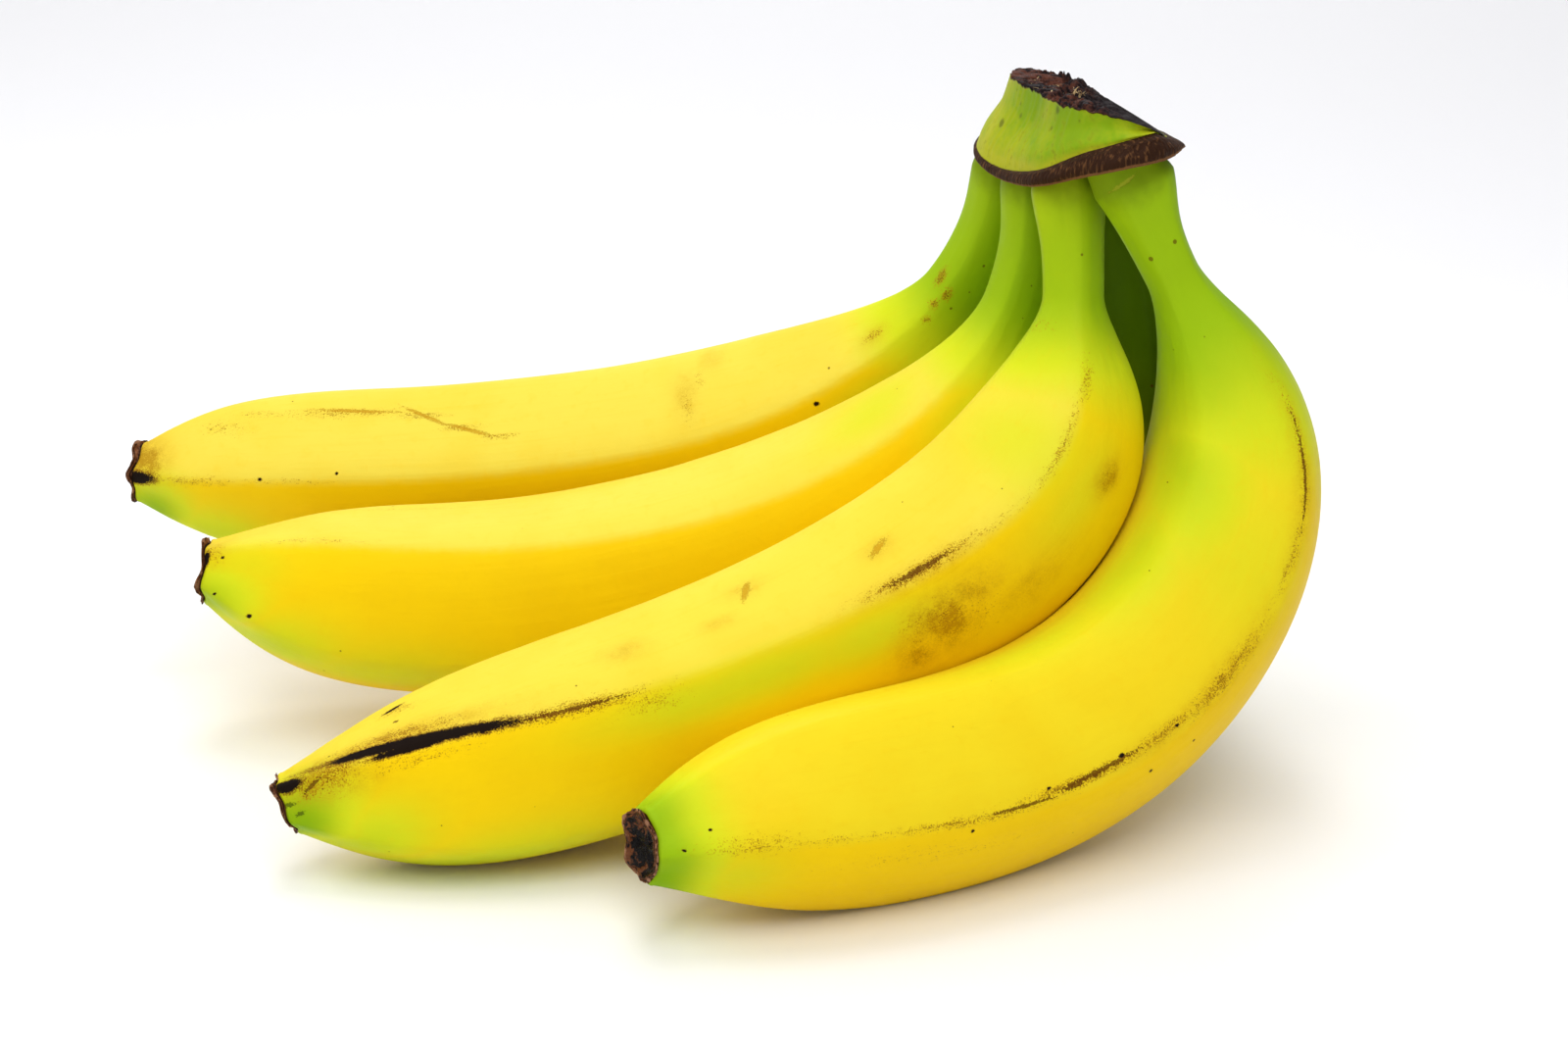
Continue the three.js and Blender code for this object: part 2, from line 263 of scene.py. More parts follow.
# Soft patches on each banana's skin: millimetres along it, millimetres from the front ridge towards
# the underside, half its length and half its width, and its strength.
GREEN_PATCHES = [
    [(216, 11, 10, 9, 0.82), (203, 17, 15, 9, 0.5), (50, 12, 16, 8, 0.5)],
    [(212, 14, 11, 9, 0.72), (198, 26, 18, 9, 0.5), (176, 30, 26, 9, 0.36), (206, 5, 12, 8, 0.28),
     (60, -9, 16, 9, 0.3), (44, 10, 12, 8, 0.5)],
    [(212.5, 9, 10, 10, 0.88), (202, 18, 13, 9, 0.5), (182, 30, 30, 9, 0.44), (150, 33, 34, 8, 0.28),
     (128, 5, 28, 5, 0.4), (103, 6, 16, 5, 0.36), (52, -8, 14, 18, 0.3), (55, 8, 14, 7, 0.25)],
    [(216, 0, 10, 99, 1.05), (203, 8, 11, 9, 0.3), (60, -26, 24, 12, 0.62), (90, -31, 26, 9, 0.48),
     (122, -32, 28, 7, 0.35), (78, -12, 18, 16, 0.24)],
    [(196, 0, 9, 99, 0.7), (185, 20, 20, 12, 0.35)],
]
BRUISES = [
    [(216, -4, 4.5, 4.5, 1.0), (92, -11, 2.5, 5, 0.35), (85, -19, 2.5, 3, 0.25), (46, -4, 3, 2, 0.4)],
    [(212, 0, 3, 4, 0.3)],
    [(88, 11, 4.5, 5, 0.95), (92, 8, 3, 3, 0.7), (83, 8, 7, 4, 0.5), (96, 14, 4, 4, 0.6),
     (72, 15, 7, 4, 0.4), (51, 13, 2.6, 2.6, 0.8), (92, -10, 3, 2, 0.4), (119, -16, 4, 2, 0.3),
     (127, -9, 3, 1.6, 0.3), (146, -10, 4, 2.5, 0.35), (207, 0, 7, 4, 0.75),
     (190, -3, 17, 2.8, 0.45), (203, 3, 6, 3, 0.5), (88, -0.6, 12, 2, 0.4)],
    [(118, -1.5, 9, 1.6, 0.4), (62, -1, 14, 2, 0.4), (100, -1.4, 12, 2.4, 0.4)],
    [(110, 4, 8, 5, 0.5)],
]
SCUFFS = [
    [(203, 0.6, 9, 1.2, 0.7), (182, 0.2, 14, 0.8, 0.5), (197, -13, 7, 2.6, 0.52),
     (171, -17, 16, 1.5, 0.68), (190, -17, 6, 1.2, 0.6), (153, -15.6, 6, 0.9, 0.8),
     (144, -11.4, 5, 0.9, 0.85), (135, -8.2, 5, 0.8, 0.8), (92, -8, 1.6, 4, 0.55),
     (88, -14, 1.4, 3, 0.5), (26, -3, 2.5, 1.5, 1.1), (28, 0.8, 1.8, 1.3, 1.0),
     (31.5, 0, 1.4, 1.2, 1.0), (35, 1.3, 1.2, 1.1, 0.9), (46, -4, 3, 1.1, 0.8)],
    [(190, -0.6, 14, 1.0, 0.55), (173, -17, 15, 1.1, 0.5), (211, 1, 2, 3, 0.6)],
    [(193, -3.6, 14, 2.0, 0.85), (205, 0.2, 5, 4, 0.85), (209, 3.2, 2, 1.6, 0.8),
     (157, 0.6, 12, 1.5, 1.0), (145, 3, 7, 2.4, 0.6), (191, -13.5, 4, 2.2, 0.75),
     (190, 2.8, 12, 1.4, 0.6), (88, -1.2, 12, 1.4, 1.05), (72, -0.6, 10, 1.1, 0.55),
     (50, -0.3, 12, 1.1, 0.75), (36, 1, 5, 1.4, 0.7), (88, 10, 4, 4.5, 0.62),
     (94, 9, 4, 4, 0.45), (82, 13, 5, 5, 0.4), (26, -8.5, 1.5, 4, 0.5), (119, -15, 2, 4, 0.4)],
    [(58, -0.8, 15, 1.1, 0.8), (76, -1.6, 8, 1.0, 0.75), (100, -1.4, 13, 1.8, 0.85),
     (117, -1.8, 8, 1.4, 0.85), (134, -1.6, 13, 1.1, 1.1), (157, -0.2, 18, 1.0, 0.9),
     (198, -0.5, 9, 2.2, 0.62), (183, 0, 14, 1.0, 0.55), (165, 6, 24, 3, 0.35)],
    [(120, 0, 24, 1.5, 0.8), (70, 0, 14, 1.5, 0.6)],
]
# How fast every patch fades away from its middle.
PATCH_FADE = 0.7


def banana_plane(banana):
    """The banana's own directions: along its heading, up in its leaning plane, out of its front."""
    heading, lean = math.radians(banana["heading"]), math.radians(banana["lean"])
    along = np.array([math.cos(heading), math.sin(heading), 0.0])
    level = np.array([-math.sin(heading), math.cos(heading), 0.0])
    upright = np.array([0.0, 0.0, 1.0])
    up = upright * math.cos(lean) + level * math.sin(lean)
    front = level * math.cos(lean) - upright * math.sin(lean)
    return along, up, front


def direction_at(banana, share):
    """The centre line's direction: along the heading, dipping by the slope at that share."""
    along, up, _ = banana_plane(banana)
    slope = np.radians(smooth_values(banana["slopes"], np.asarray(share, float)))[..., None]
    return along * np.cos(slope) + up * np.sin(slope)


def skin_end(banana):
    """The share of the length where the skin's last full ring stands."""
    return 1 - (FLOWER_LENGTH + TIP_ROUNDING) / banana["length"]


def centre_line(banana, rings):
    """Points, directions and shares along the centre line: its direction summed in even steps,
    each taken at the step's middle."""
    shares = np.linspace(0, skin_end(banana), rings)
    step = shares[1] * banana["length"]
    moves = direction_at(banana, shares[:-1] + shares[1] / 2) * step
    points = np.concatenate(([np.zeros(3)], np.cumsum(moves, axis=0))) + np.array(banana["base"])
    return points, direction_at(banana, shares), shares


def radius_at(banana, share):
    """Radius along the length: a neck that flares at the crown, a shoulder that rises to the
    belly as 1 - (1 - t)^fullness, and a taper to the end as (1 - w^bluntness)^TAPER_POWER."""
    first, last = banana["shoulder"]
    t = np.clip((share - first) / (last - first), 0, 1)
    eased = np.minimum(t * t / (t + SHOULDER_EASE) * (1 + SHOULDER_EASE), 1)
    rise = 1 - (1 - eased) ** banana["fullness"]
    neck = banana["neck"] + banana["flare"] * np.exp(-share / FLARE_LENGTH)
    full = neck + (banana["belly"] - banana["neck"]) * rise
    w = np.clip((share - TAPER_START) / (1 - TAPER_START), 0, 1)
    return banana["end"] + (full - banana["end"]) * (1 - w ** banana["bluntness"]) ** TAPER_POWER


def ridge_angle(banana, share):
    """The front ridge's angle from the top, which changes evenly along the banana."""
    neck, tip = banana["ridge"]
    return np.radians(neck + (tip - neck) * share)


def ridge_share(banana, share, angle):
    """The section's five ridges: 1 on a ridge, lower on the flats between, more so near the tip."""
    wave = np.abs(np.sin(RIDGE_COUNT / 2 * (angle - ridge_angle(banana, share))))
    depth = FLAT_DEPTH + TIP_FLATNESS * smooth_step(share, 1 - TIP_SPAN, 1)
    return 1 - depth * wave ** RIDGE_SHARPNESS


def tip_reach(banana, share, angle):
    """How far the skin's edge at the tip runs ahead at an angle, in millimetres: a cosine towards
    one side, and a little at each ridge, growing over the last TIP_SPAN of the length."""
    side, slant = banana["slant"]
    points = TIP_POINTS * np.cos(RIDGE_COUNT * (angle - math.radians(banana["ridge"][1])))
    reach = slant * np.cos(angle - math.radians(side)) + points
    return reach * smooth_step(share, 1 - TIP_SPAN, 1)


def ring_points(points, directions, front, radius, angles, reach):
    """Rings round the centre line, starting from the top and turning through the front, and
    running ahead along it by reach."""
    top = np.cross(directions, front)
    top /= np.linalg.norm(top, axis=-1, keepdims=True)
    across = top[:, None] * np.cos(angles)[..., None] + front * np.sin(angles)[..., None]
    return points[:, None] + across * radius[..., None] + directions[:, None] * reach[..., None]


# Where each neck swells as it meets the crown: the angle round it in degrees and the swelling in
# millimetres.
NECK_FLARES = [
    [(10, 0.9), (90, 0.3)], [(15, 0.8), (80, 0.5)], [(10, 1.2), (75, 0.4), (140, 0.9)],
    [(140, 1.9), (80, 0.5), (0, 0.6)], [(0, 0.5)],
]
# How fast a swelling fades round the neck, how far below the crown it is fullest, and how far it
# reaches up and down the neck from there.
SWELLING_FOCUS = 3
SWELLING_PEAK = 0.5
SWELLING_UP = 3.5
SWELLING_DOWN = 8.0


def neck_flare(number, along, angles):
    """The swelling of a neck under the crown: a bell curve along it times one around it."""
    total = 0
    for degrees, push in NECK_FLARES[number]:
        facing = np.cos(angles - math.radians(degrees))
        total = np.maximum(total, push * np.exp(-SWELLING_FOCUS * (1 - facing)))
    reach = np.where(along > SWELLING_PEAK, SWELLING_DOWN, SWELLING_UP)
    return total * np.exp(-((along - SWELLING_PEAK) / reach) ** 2)


# The skin's relief: how far it sinks on average, the depth and cell size of its lumps, dimples and
# lines, how much deeper the lines are at the neck, how they stretch along the skin, and the shares
# of the length between which the neck's lines fade. All but the last two are in millimetres.
SKIN_SINK = 0.22
LUMP_DEPTH, LUMP_SIZE = 0.16, 26
DIMPLE_DEPTH, DIMPLE_SIZE = 0.05, 8
LINE_DEPTH, LINE_SIZE = 0.035, 1.9
NECK_LINE_DEPTH = 0.05
LINE_STRETCH = np.array([1.0, 1.0, 0.06])
NECK_FADE = (0.1, 0.3)


def skin_relief(seed, straight, share):
    """How far the skin lies below its smooth form, in millimetres: broad lumps, small dimples and
    fine lines that run along it, all from lattice noise, and more lines along the neck."""
    lumps = LUMP_DEPTH * lattice_noise(straight, LUMP_SIZE, seed)
    dimples = DIMPLE_DEPTH * lattice_noise(straight, DIMPLE_SIZE, seed + 1)
    lines = lattice_noise(straight * LINE_STRETCH, LINE_SIZE, seed + 2)
    neck = 1 - smooth_step(share, *NECK_FADE)
    return SKIN_SINK + lumps + dimples + (LINE_DEPTH + NECK_LINE_DEPTH * neck) * lines


# How much painted sheen makes each banana paler above its front ridge, and which one has a neck in
# the shade of the others, painted deep green on its front side as shade.
PAINTED_SHEEN = [1.0, 0.9, 0.7, 0.15, 0.3]
HIDDEN_BANANA = 4

# Past the last full ring, the skin's edge rounds over and turns into a shallow cup: how far along,
# in millimetres, and how wide as a share of the last ring.
TIP_EDGE = [
    (0.25, 0.996), (0.5, 0.98), (0.75, 0.95), (0.92, 0.91), (1, 0.87), (0.9, 0.84), (0.6, 0.825),
    (0.2, 0.815), (-0.3, 0.79), (-0.55, 0.6), (-0.6, 0.3),
]
# The widths on that edge between which the skin turns into the brown cup.
CUP_WIDTHS = (0.88, 0.95)

ROOT_RINGS = 8


def skin_rings(banana, seed, rings, sides):
    """The skin as a grid: share runs along the centre line and angle around it, and the radius is
    the taper times the ridges less the relief. Returns the rings, the straightened place of each
    point (across and along, as if the banana were straight) and the two end points."""
    _, _, front = banana_plane(banana)
    points, directions, shares = centre_line(banana, rings)
    root_steps = np.linspace(-banana["root"], 0, ROOT_RINGS, endpoint=False)
    points = np.concatenate((points[0] + root_steps[:, None] * directions[0], points))
    directions = np.concatenate((np.repeat(directions[:1], ROOT_RINGS, axis=0), directions))
    along = np.concatenate((root_steps, shares * banana["length"]))
    width = np.ones(len(along))

    edge = np.array(TIP_EDGE)
    tip = points[-1] + edge[:, :1] * directions[-1]
    points = np.concatenate((points, tip))
    directions = np.concatenate((directions, np.repeat(directions[-1:], len(edge), axis=0)))
    along = np.concatenate((along, along[-1] + edge[:, 0]))
    width = np.concatenate((width, edge[:, 1]))[:, None]

    angles = full_turn(len(along), sides)
    share = np.clip(along / banana["length"], 0, skin_end(banana))[:, None]
    reach = tip_reach(banana, share, angles)
    smooth = (radius_at(banana, share) - TIP_CLOSING * reach) * width
    straight = np.stack((
        smooth * np.cos(angles), smooth * np.sin(angles), along[:, None] + reach * width,
    ), axis=-1)
    radius = smooth * ridge_share(banana, share, angles)
    radius = radius - skin_relief(seed, straight, share) * width ** 4
    radius = radius + neck_flare(BANANAS.index(banana), along[:, None], angles)
    grid = ring_points(points, directions, front, radius, angles, reach * width)
    return grid, straight, points[0], points[-1]


# Points on the neighbour's centre line that the nearest is sought among, how many of the skin's
# points are compared with them at a time, and how far along from it one may lie, in millimetres.
NEIGHBOUR_RINGS = 180
BATCH = 8192
NEIGHBOUR_REACH = 2


def pressed_off(grid, other):
    """Points that would lie inside another banana are moved straight out from its centre line,
    until they clear its ridged section by NEIGHBOUR_GAP."""
    points, directions, shares = centre_line(other, NEIGHBOUR_RINGS)
    _, _, front = banana_plane(other)
    flat = grid.reshape(-1, 3)
    nearest = np.empty(len(flat), int)
    for start in range(0, len(flat), BATCH):
        apart = ((flat[start:start + BATCH, None] - points[None]) ** 2).sum(-1)
        nearest[start:start + BATCH] = apart.argmin(1)
    away = flat - points[nearest]
    tangent = directions[nearest]
    along = (away * tangent).sum(-1, keepdims=True)
    away = away - along * tangent
    distance = np.linalg.norm(away, axis=-1)
    top = np.cross(tangent, front)
    angle = np.arctan2(away @ front, (away * top).sum(-1))
    share = shares[nearest]
    surface = radius_at(other, share) * ridge_share(other, share, angle) + NEIGHBOUR_GAP
    inside = np.clip(surface - distance, 0, None) * (np.abs(along[:, 0]) < NEIGHBOUR_REACH)
    moved = flat + away / np.maximum(distance, 1e-6)[:, None] * inside[:, None]
    return moved.reshape(grid.shape)


def skin_place(banana, straight):
    """Millimetres along the skin, and across it from the front ridge towards the underside."""
    angle = np.arctan2(straight[..., 1], straight[..., 0])
    ridge = ridge_angle(banana, straight[..., 2] / banana["length"])
    turned = (angle - ridge + math.pi) % (2 * math.pi) - math.pi
    return straight[..., 2], turned * np.hypot(straight[..., 0], straight[..., 1])


def strongest(along, across, patches):
    """The strongest of some soft patches at each point, each a bell curve along and across."""
    total = np.zeros(along.shape)
    for place, offset, length, width, strength in patches:
        reach = ((along - place) / length) ** 2 + ((across - offset) / width) ** 2
        total = np.maximum(total, strength * np.exp(-PATCH_FADE * reach))
    return total


def skin_tint(number, straight):
    """How green, how bruised and how scuffed the skin is at each point, from 0 to 1."""
    along, across = skin_place(BANANAS[number], straight)
    start, end, strength = GREEN_NECKS[number]
    neck = strength * (1 - smooth_step(along, start, end))
    green = np.maximum(neck, strongest(along, across, GREEN_PATCHES[number]))
    bruise = strongest(along, across, BRUISES[number])
    return np.stack((green, bruise, strongest(along, across, SCUFFS[number])), axis=-1)


SKIN_SEED = 3
SKIN_SEED_STEP = 10


def banana_skin(number, rings, sides):
    """One fine banana skin, pressed flat where it lies on the surface or on a neighbour."""
    banana = BANANAS[number]
    seed = SKIN_SEED + SKIN_SEED_STEP * number
    grid, straight, first_point, last_point = skin_rings(banana, seed, rings, sides)
    for other in range(number):
        grid = pressed_off(grid, BANANAS[other])
    grid[..., 2] = np.maximum(grid[..., 2], 0)
    piece = tube_mesh(f"banana_skin_{number + 1}", grid, first_point, last_point)
    ends = [[0, 0, straight[0, 0, 2]], [0, 0, straight[-1, 0, 2]]]
    straight = np.concatenate((straight.reshape(-1, 3), ends))
    add_attribute(piece, "straight", straight)
    add_attribute(piece, "tint", skin_tint(number, straight))
    cup = np.zeros(grid.shape[:2])
    cup[-len(TIP_EDGE):] = 1 - smooth_step(np.array(TIP_EDGE)[:, 1:], *CUP_WIDTHS)
    add_attribute(piece, "cup", np.concatenate((cup.ravel(), [0, 1])))
    return piece


# --- Flower ends ------------------------------------------------------------------------------

# The dried flower's profile from its root in the tip's cup, out over the skin's edge as a rim in
# two folds, and back into its hollow: how far along past the skin's last full ring, in
# millimetres, and how wide as a share of that ring.
FLOWER_PROFILE = [
    (-0.4, 0.5), (-0.1, 0.74), (0.4, 0.79), (0.95, 0.81), (1.2, 0.88), (1.3, 0.945), (1.55, 0.965),
    (1.75, 0.93), (1.62, 0.88), (1.7, 0.84), (1.5, 0.78), (0.95, 0.71), (0.5, 0.6), (0.35, 0.45),
    (0.5, 0.3), (0.4, 0.14),
]
FLOWER_NUB = 0.45

# Knobs on each rim: the angle round it in degrees and how far each stands out, in millimetres.
FLOWER_KNOBS = [
    [(5, 1.2), (60, 0.5)], [(8, 0.9), (95, 0.3)], [(48, 0.4), (0, -1.1), (175, -1.2)],
    [(20, 0.3), (165, -1.1)], [(0, 0.5)],
]
# How fast a knob fades round the rim, and the shares of it that go outwards and ahead.
KNOB_FOCUS = 14
KNOB_OUT = 0.7
KNOB_AHEAD = 0.6
# The shares of the profile between which it clears the skin's edge, and turns into its hollow.
PAST_EDGE = (0.22, 0.34)
INTO_HOLLOW = (0.58, 0.75)
# The folds' noise is taken on a tube of this radius and length, by cell size and first seed: fine
# creases, which are shorter along the profile, a coarser crumple and lumps.
FOLD_RADIUS = 7
FOLD_LENGTH = 11
CREASES = (0.9, 70)
CRUMPLE = (1.9, 80)
LUMPS = (3.4, 90)
CREASE_STRETCH = 1.6
# How much of the wrinkle's depth each gives: creases and crumple out of the rim, the crumple in
# full in the hollow, and lumps, crumple and creases along the flower in the hollow.
CREASE_SHARE = 0.7
CRUMPLE_SHARE = 0.75
HOLLOW_SHARES = (1.3, 0.7, 0.5)
# The rim's slow waves ahead: their depth, and each one's share, its waves round the rim and how its
# phase turns from one banana to the next.
RIM_WAVE = 0.18
RIM_WAVES = [(1, 3, 2), (0.6, 7, 1)]
THINNEST = 0.1
TIP_RINGS = 400


def flower_end(number, rings, sides, wrinkle):
    """A shrivelled flower end: the profile carried round the tip, with a wavy rim as slow sines
    and papery wrinkles and lumps from lattice noise."""
    banana = BANANAS[number]
    _, _, front = banana_plane(banana)
    points, directions, shares = centre_line(banana, TIP_RINGS)
    tip, direction = points[-1], directions[-1]
    share = np.linspace(0, 1, rings)[:, None]
    angles = full_turn(rings, sides)
    along, width = (smooth_values(values, share) for values in zip(*FLOWER_PROFILE))
    reach = tip_reach(banana, 1, angles)
    root = (radius_at(banana, shares[-1]) - TIP_CLOSING * reach) * ridge_share(banana, 1, angles)
    past_edge = smooth_step(share, *PAST_EDGE)
    inner = smooth_step(share, *INTO_HOLLOW)
    rim = past_edge * (1 - inner)

    tube = np.stack(np.broadcast_arrays(
        FOLD_RADIUS * np.cos(angles), FOLD_RADIUS * np.sin(angles), FOLD_LENGTH * share), axis=-1)
    creases, crumple, lumps = (
        lattice_noise(tube * np.array([1, 1, shorter]), size, seed + number)
        for shorter, (size, seed) in ((CREASE_STRETCH, CREASES), (1, CRUMPLE), (1, LUMPS))
    )
    wave = RIM_WAVE * sum(
        depth * np.sin(waves * angles + phase * number) for depth, waves, phase in RIM_WAVES)
    knob = rim * sum(push * np.exp(-KNOB_FOCUS * (1 - np.cos(angles - math.radians(degrees))))
                     for degrees, push in FLOWER_KNOBS[number])
    crumpled = (CRUMPLE_SHARE + (1 - CRUMPLE_SHARE) * inner) * crumple
    bumps = wrinkle * past_edge * (CREASE_SHARE * creases + crumpled)
    radius = np.maximum(root * width + bumps + KNOB_OUT * knob, THINNEST)
    along = along + KNOB_AHEAD * knob + reach * width + wave * rim
    along = along + wrinkle * inner * sum(
        part * noise for part, noise in zip(HOLLOW_SHARES, (lumps, crumple, creases)))
    grid = ring_points(
        tip[None] + 0 * share, direction[None] + 0 * share, front, radius, angles, along)
    first_point = tip + direction * FLOWER_PROFILE[0][0]
    piece = tube_mesh(f"dried_flower_{number + 1}", grid, first_point, tip + direction * FLOWER_NUB)
    add_attribute(piece, "fold", np.concatenate((np.repeat(share, sides), [0, 1])))
    return piece


# --- Crown ------------------------------------------------------------------------------------

def pushed(outline, middle, push, lift=0.0):
    """An outline moved outwards from its middle, and lifted."""
    return outline + level_outward(outline, middle) * push + np.array([0, 0, lift])


def rows_through(outlines, rows):
    """Rows of points on a Catmull-Rom curve through matching points of the outlines."""
    stack = np.array(outlines)
    padded = np.concatenate((2 * stack[:1] - stack[1:2], stack, 2 * stack[-1:] - stack[-2:-1]))
    spans = len(outlines) - 1
    return catmull_rom(padded, np.linspace(0, 1, rows) * spans, spans)


# The cut's waves, as in the solid: each one's height as a share, its turns along X and Y in
# radians for each millimetre, and its phase.
CUT_WAVES = [(1, 0.9, 0.35, 0), (0.7, -1.3, 0.5, 2), (0.6, 0.4, 1.7, 1)]
# Torn clods on the waves: their mean height, their greatest extra height where the cut is ragged,
# and the share, cell size and seed of each layer of noise. Ragged and calm say between which X the
# cut gets less torn, and then nearly smooth.
CLOD_HEIGHT = 0.75
RAGGED_HEIGHT = 2.3
CLODS = [(1, 2.4, 51), (0.6, 0.9, 52)]
RAGGED = (55, 63)
CALM = (64, 74)
# The sunken middle of the cut: its depth, its place and its half widths along X and Y.
SUNKEN_DEPTH = 1.6
SUNKEN_PLACE = (60, 31)
SUNKEN_SIZE = (7, 6)
# The rim's nicks up and down, and inwards: each layer's depth, cell size and seed, and between
# which X they end.
RIM_NICKS = [(0.5, 1.6, 56), (0.3, 0.7, 57)]
RIM_INSET = (0.5, 2.1, 58)
RIM_RAGGED = (57, 66)


def torn_height(points):
    """The torn cut's height: crossing waves as in the solid, with clods of torn fibre on top of
    them from lattice noise folded at zero so that it makes sharp crests."""
    x, y = points[..., 0], points[..., 1]
    waves = sum(high * np.sin(turn_x * x + turn_y * y + phase)
                for high, turn_x, turn_y, phase in CUT_WAVES)
    clods = CLOD_HEIGHT - sum(
        share * np.abs(lattice_noise(points, size, seed)) for share, size, seed in CLODS)
    ragged = 1 - smooth_step(x, *RAGGED)
    apart = ((points[..., :2] - SUNKEN_PLACE) / SUNKEN_SIZE) ** 2
    sunken = SUNKEN_DEPTH * np.exp(-apart.sum(-1))
    calm = 1 - 0.9 * smooth_step(x, *CALM)
    return (CUT_ROUGHNESS * waves * (0.25 + 0.25 * ragged)
            + (0.3 + RAGGED_HEIGHT * ragged) * clods - sunken) * calm


def torn_rim(sides):
    """The cut's rim, nicked up and down and inwards where the cut is ragged."""
    rim = closed_outline(CUT_RIM, sides)
    ragged = (1 - smooth_step(rim[:, 0], *RIM_RAGGED))[:, None]
    nicks = sum(depth * lattice_noise(rim, size, seed) for depth, size, seed in RIM_NICKS)
    depth, size, seed = RIM_INSET
    inset = depth * np.abs(lattice_noise(rim, size, seed))
    return pushed(rim, rim.mean(0), -inset[:, None] * ragged) + ragged * np.outer(nicks, (0, 0, 1))


# How far strands go from the cut's middle towards its rim, and how far its last row goes from the
# rim towards the middle, as shares.
INSIDE_RIM = 0.93
TO_MIDDLE = 0.97


def cut_points(places, sides):
    """Points on the torn cut above or below some places: each lies on the straight line from the
    middle of the rim to the rim, raised by the torn height."""
    rim = torn_rim(sides)
    centre = rim.mean(0)
    spokes, away = rim - centre, places[:, :2] - centre[:2]
    turns, turn = np.arctan2(spokes[:, 1], spokes[:, 0]), np.arctan2(away[:, 1], away[:, 0])
    reach = np.interp(turn, turns, np.hypot(spokes[:, 0], spokes[:, 1]), period=2 * math.pi)
    rise = np.interp(turn, turns, spokes[:, 2], period=2 * math.pi)
    share = np.minimum(np.hypot(away[:, 0], away[:, 1]) / reach, INSIDE_RIM)
    points = centre + share[:, None] * np.stack((np.cos(turn) * reach, np.sin(turn) * reach, rise), -1)
    points[:, 2] += torn_height(points)
    return points


# The crown's parts from below: the underside, the band, the groove above it, the green shoulder
# and the cut. Each has its rows, and its zone number at its first and its last row.
CROWN_PARTS = dict(
    under=(7, -1, -1), band=(25, -1, 0), groove=(7, 0, 0), shoulder=(59, 1, 1.999), cut=(44, 2, 2))
# Noise on the crown by part: each layer's depth, cell size and seed. The band's fibres are
# stretched upwards.
BAND_FIBRES = (0.16, 0.8, 61)
BAND_LUMPS = (0.22, 2.4, 62)
GROOVE_LUMPS = (0.1, 1.0, 63)
SHOULDER_DENTS = [(0.16, 5.5, 64), (0.04, 1.6, 65)]
SHOULDER_SINK = 0.1
FIBRE_STRETCH = np.array([1, 1, 0.2])
# The outlines that each part passes through. On the underside: how far each is pushed out and
# lifted. On the band: its share of the way up and of the bulge. On the shoulder: its share of the
# way up and how far it is pushed out. The underside's middle and the groove are lifted too.
UNDER_STEPS = [(-2.5, 0.4), (-1, 0.1)]
BAND_STEPS = [(0.4, 1), (0.85, 0.8)]
SHOULDER_STEPS = [(0.25, 0.2), (0.6, -CROWN_HOLLOW), (0.9, -CROWN_HOLLOW / 2)]
MIDDLE_LIFT = 0.4
GROOVE_LIFT = 0.1
# The most of the crown's height that the band takes, and the share of the way from the rim to the
# cut's middle over which the torn clods rise.
BAND_LIMIT = 0.9
CUT_EASE = 0.07


def noise_layer(points, depth, size, seed):
    """Lattice noise by its depth, as a column that scales a direction for each point."""
    return depth * lattice_noise(points, size, seed)[..., None]


def crown_piece(sides, fibre):
    """The crown: a brown band that stands out over the necks, a hollow green shoulder that leans
    in to the cut, and the torn cut, each a stack of outlines joined by smooth rows."""
    edge, rim = closed_outline(BAND_EDGE, sides), torn_rim(sides)
    across = smooth_step(edge[:, :1], *BAND_SPREAD)
    height = BAND_HEIGHT_LEFT + (BAND_HEIGHT_RIGHT - BAND_HEIGHT_LEFT) * across
    rise = np.minimum(height / (rim[:, 2:] - edge[:, 2:]), BAND_LIMIT)
    swell = height / BAND_HEIGHT_RIGHT
    band_top = edge + (rim - edge) * rise
    middle, top_middle = edge.mean(0), band_top.mean(0)

    def band(share, push, lift=0.0):
        return pushed(edge + (band_top - edge) * share, middle, push * swell, lift)

    def green(share, push):
        return pushed(band_top + (rim - band_top) * share, top_middle, push)

    def rows(part, outlines):
        return rows_through(outlines, CROWN_PARTS[part][0] + 1)[:-1]

    belt_steps = [edge] + [band(share, BAND_BULGE * bulge) for share, bulge in BAND_STEPS]
    groove_bottom = band(1, -BAND_GROOVE, GROOVE_LIFT)
    under = rows("under", [pushed(edge, middle, *step) for step in UNDER_STEPS] + [edge])
    belt = rows("band", belt_steps)
    groove = rows("groove", [belt_steps[-1], groove_bottom])
    shoulder = rows("shoulder", [groove_bottom, *(green(*step) for step in SHOULDER_STEPS), rim])
    shares = np.linspace(0, TO_MIDDLE, CROWN_PARTS["cut"][0])[:, None, None]
    cut = rim + (rim.mean(0) - rim) * shares
    cut[..., 2] += torn_height(cut) * smooth_step(shares[..., 0], 0, CUT_EASE)

    fibres = noise_layer(belt * FIBRE_STRETCH, *BAND_FIBRES) + noise_layer(belt, *BAND_LUMPS)
    belt = belt + level_outward(belt, middle) * swell * fibre * fibres
    groove = groove + level_outward(groove, middle) * noise_layer(groove, *GROOVE_LUMPS)
    dents = sum(noise_layer(shoulder, *layer) for layer in SHOULDER_DENTS) - SHOULDER_SINK
    shoulder = shoulder + level_outward(shoulder, middle) * dents
    grid = np.concatenate([under, belt, groove, shoulder, cut])
    bottom = under[0].mean(0) + np.array([0, 0, MIDDLE_LIFT])
    piece = tube_mesh("crown_stump", grid, bottom, cut[-1].mean(0))
    zones = [np.linspace(first, last, count) for count, first, last in CROWN_PARTS.values()]
    add_attribute(piece, "zone", np.concatenate((np.repeat(np.concatenate(zones), sides), [-1, 2])))
    return piece


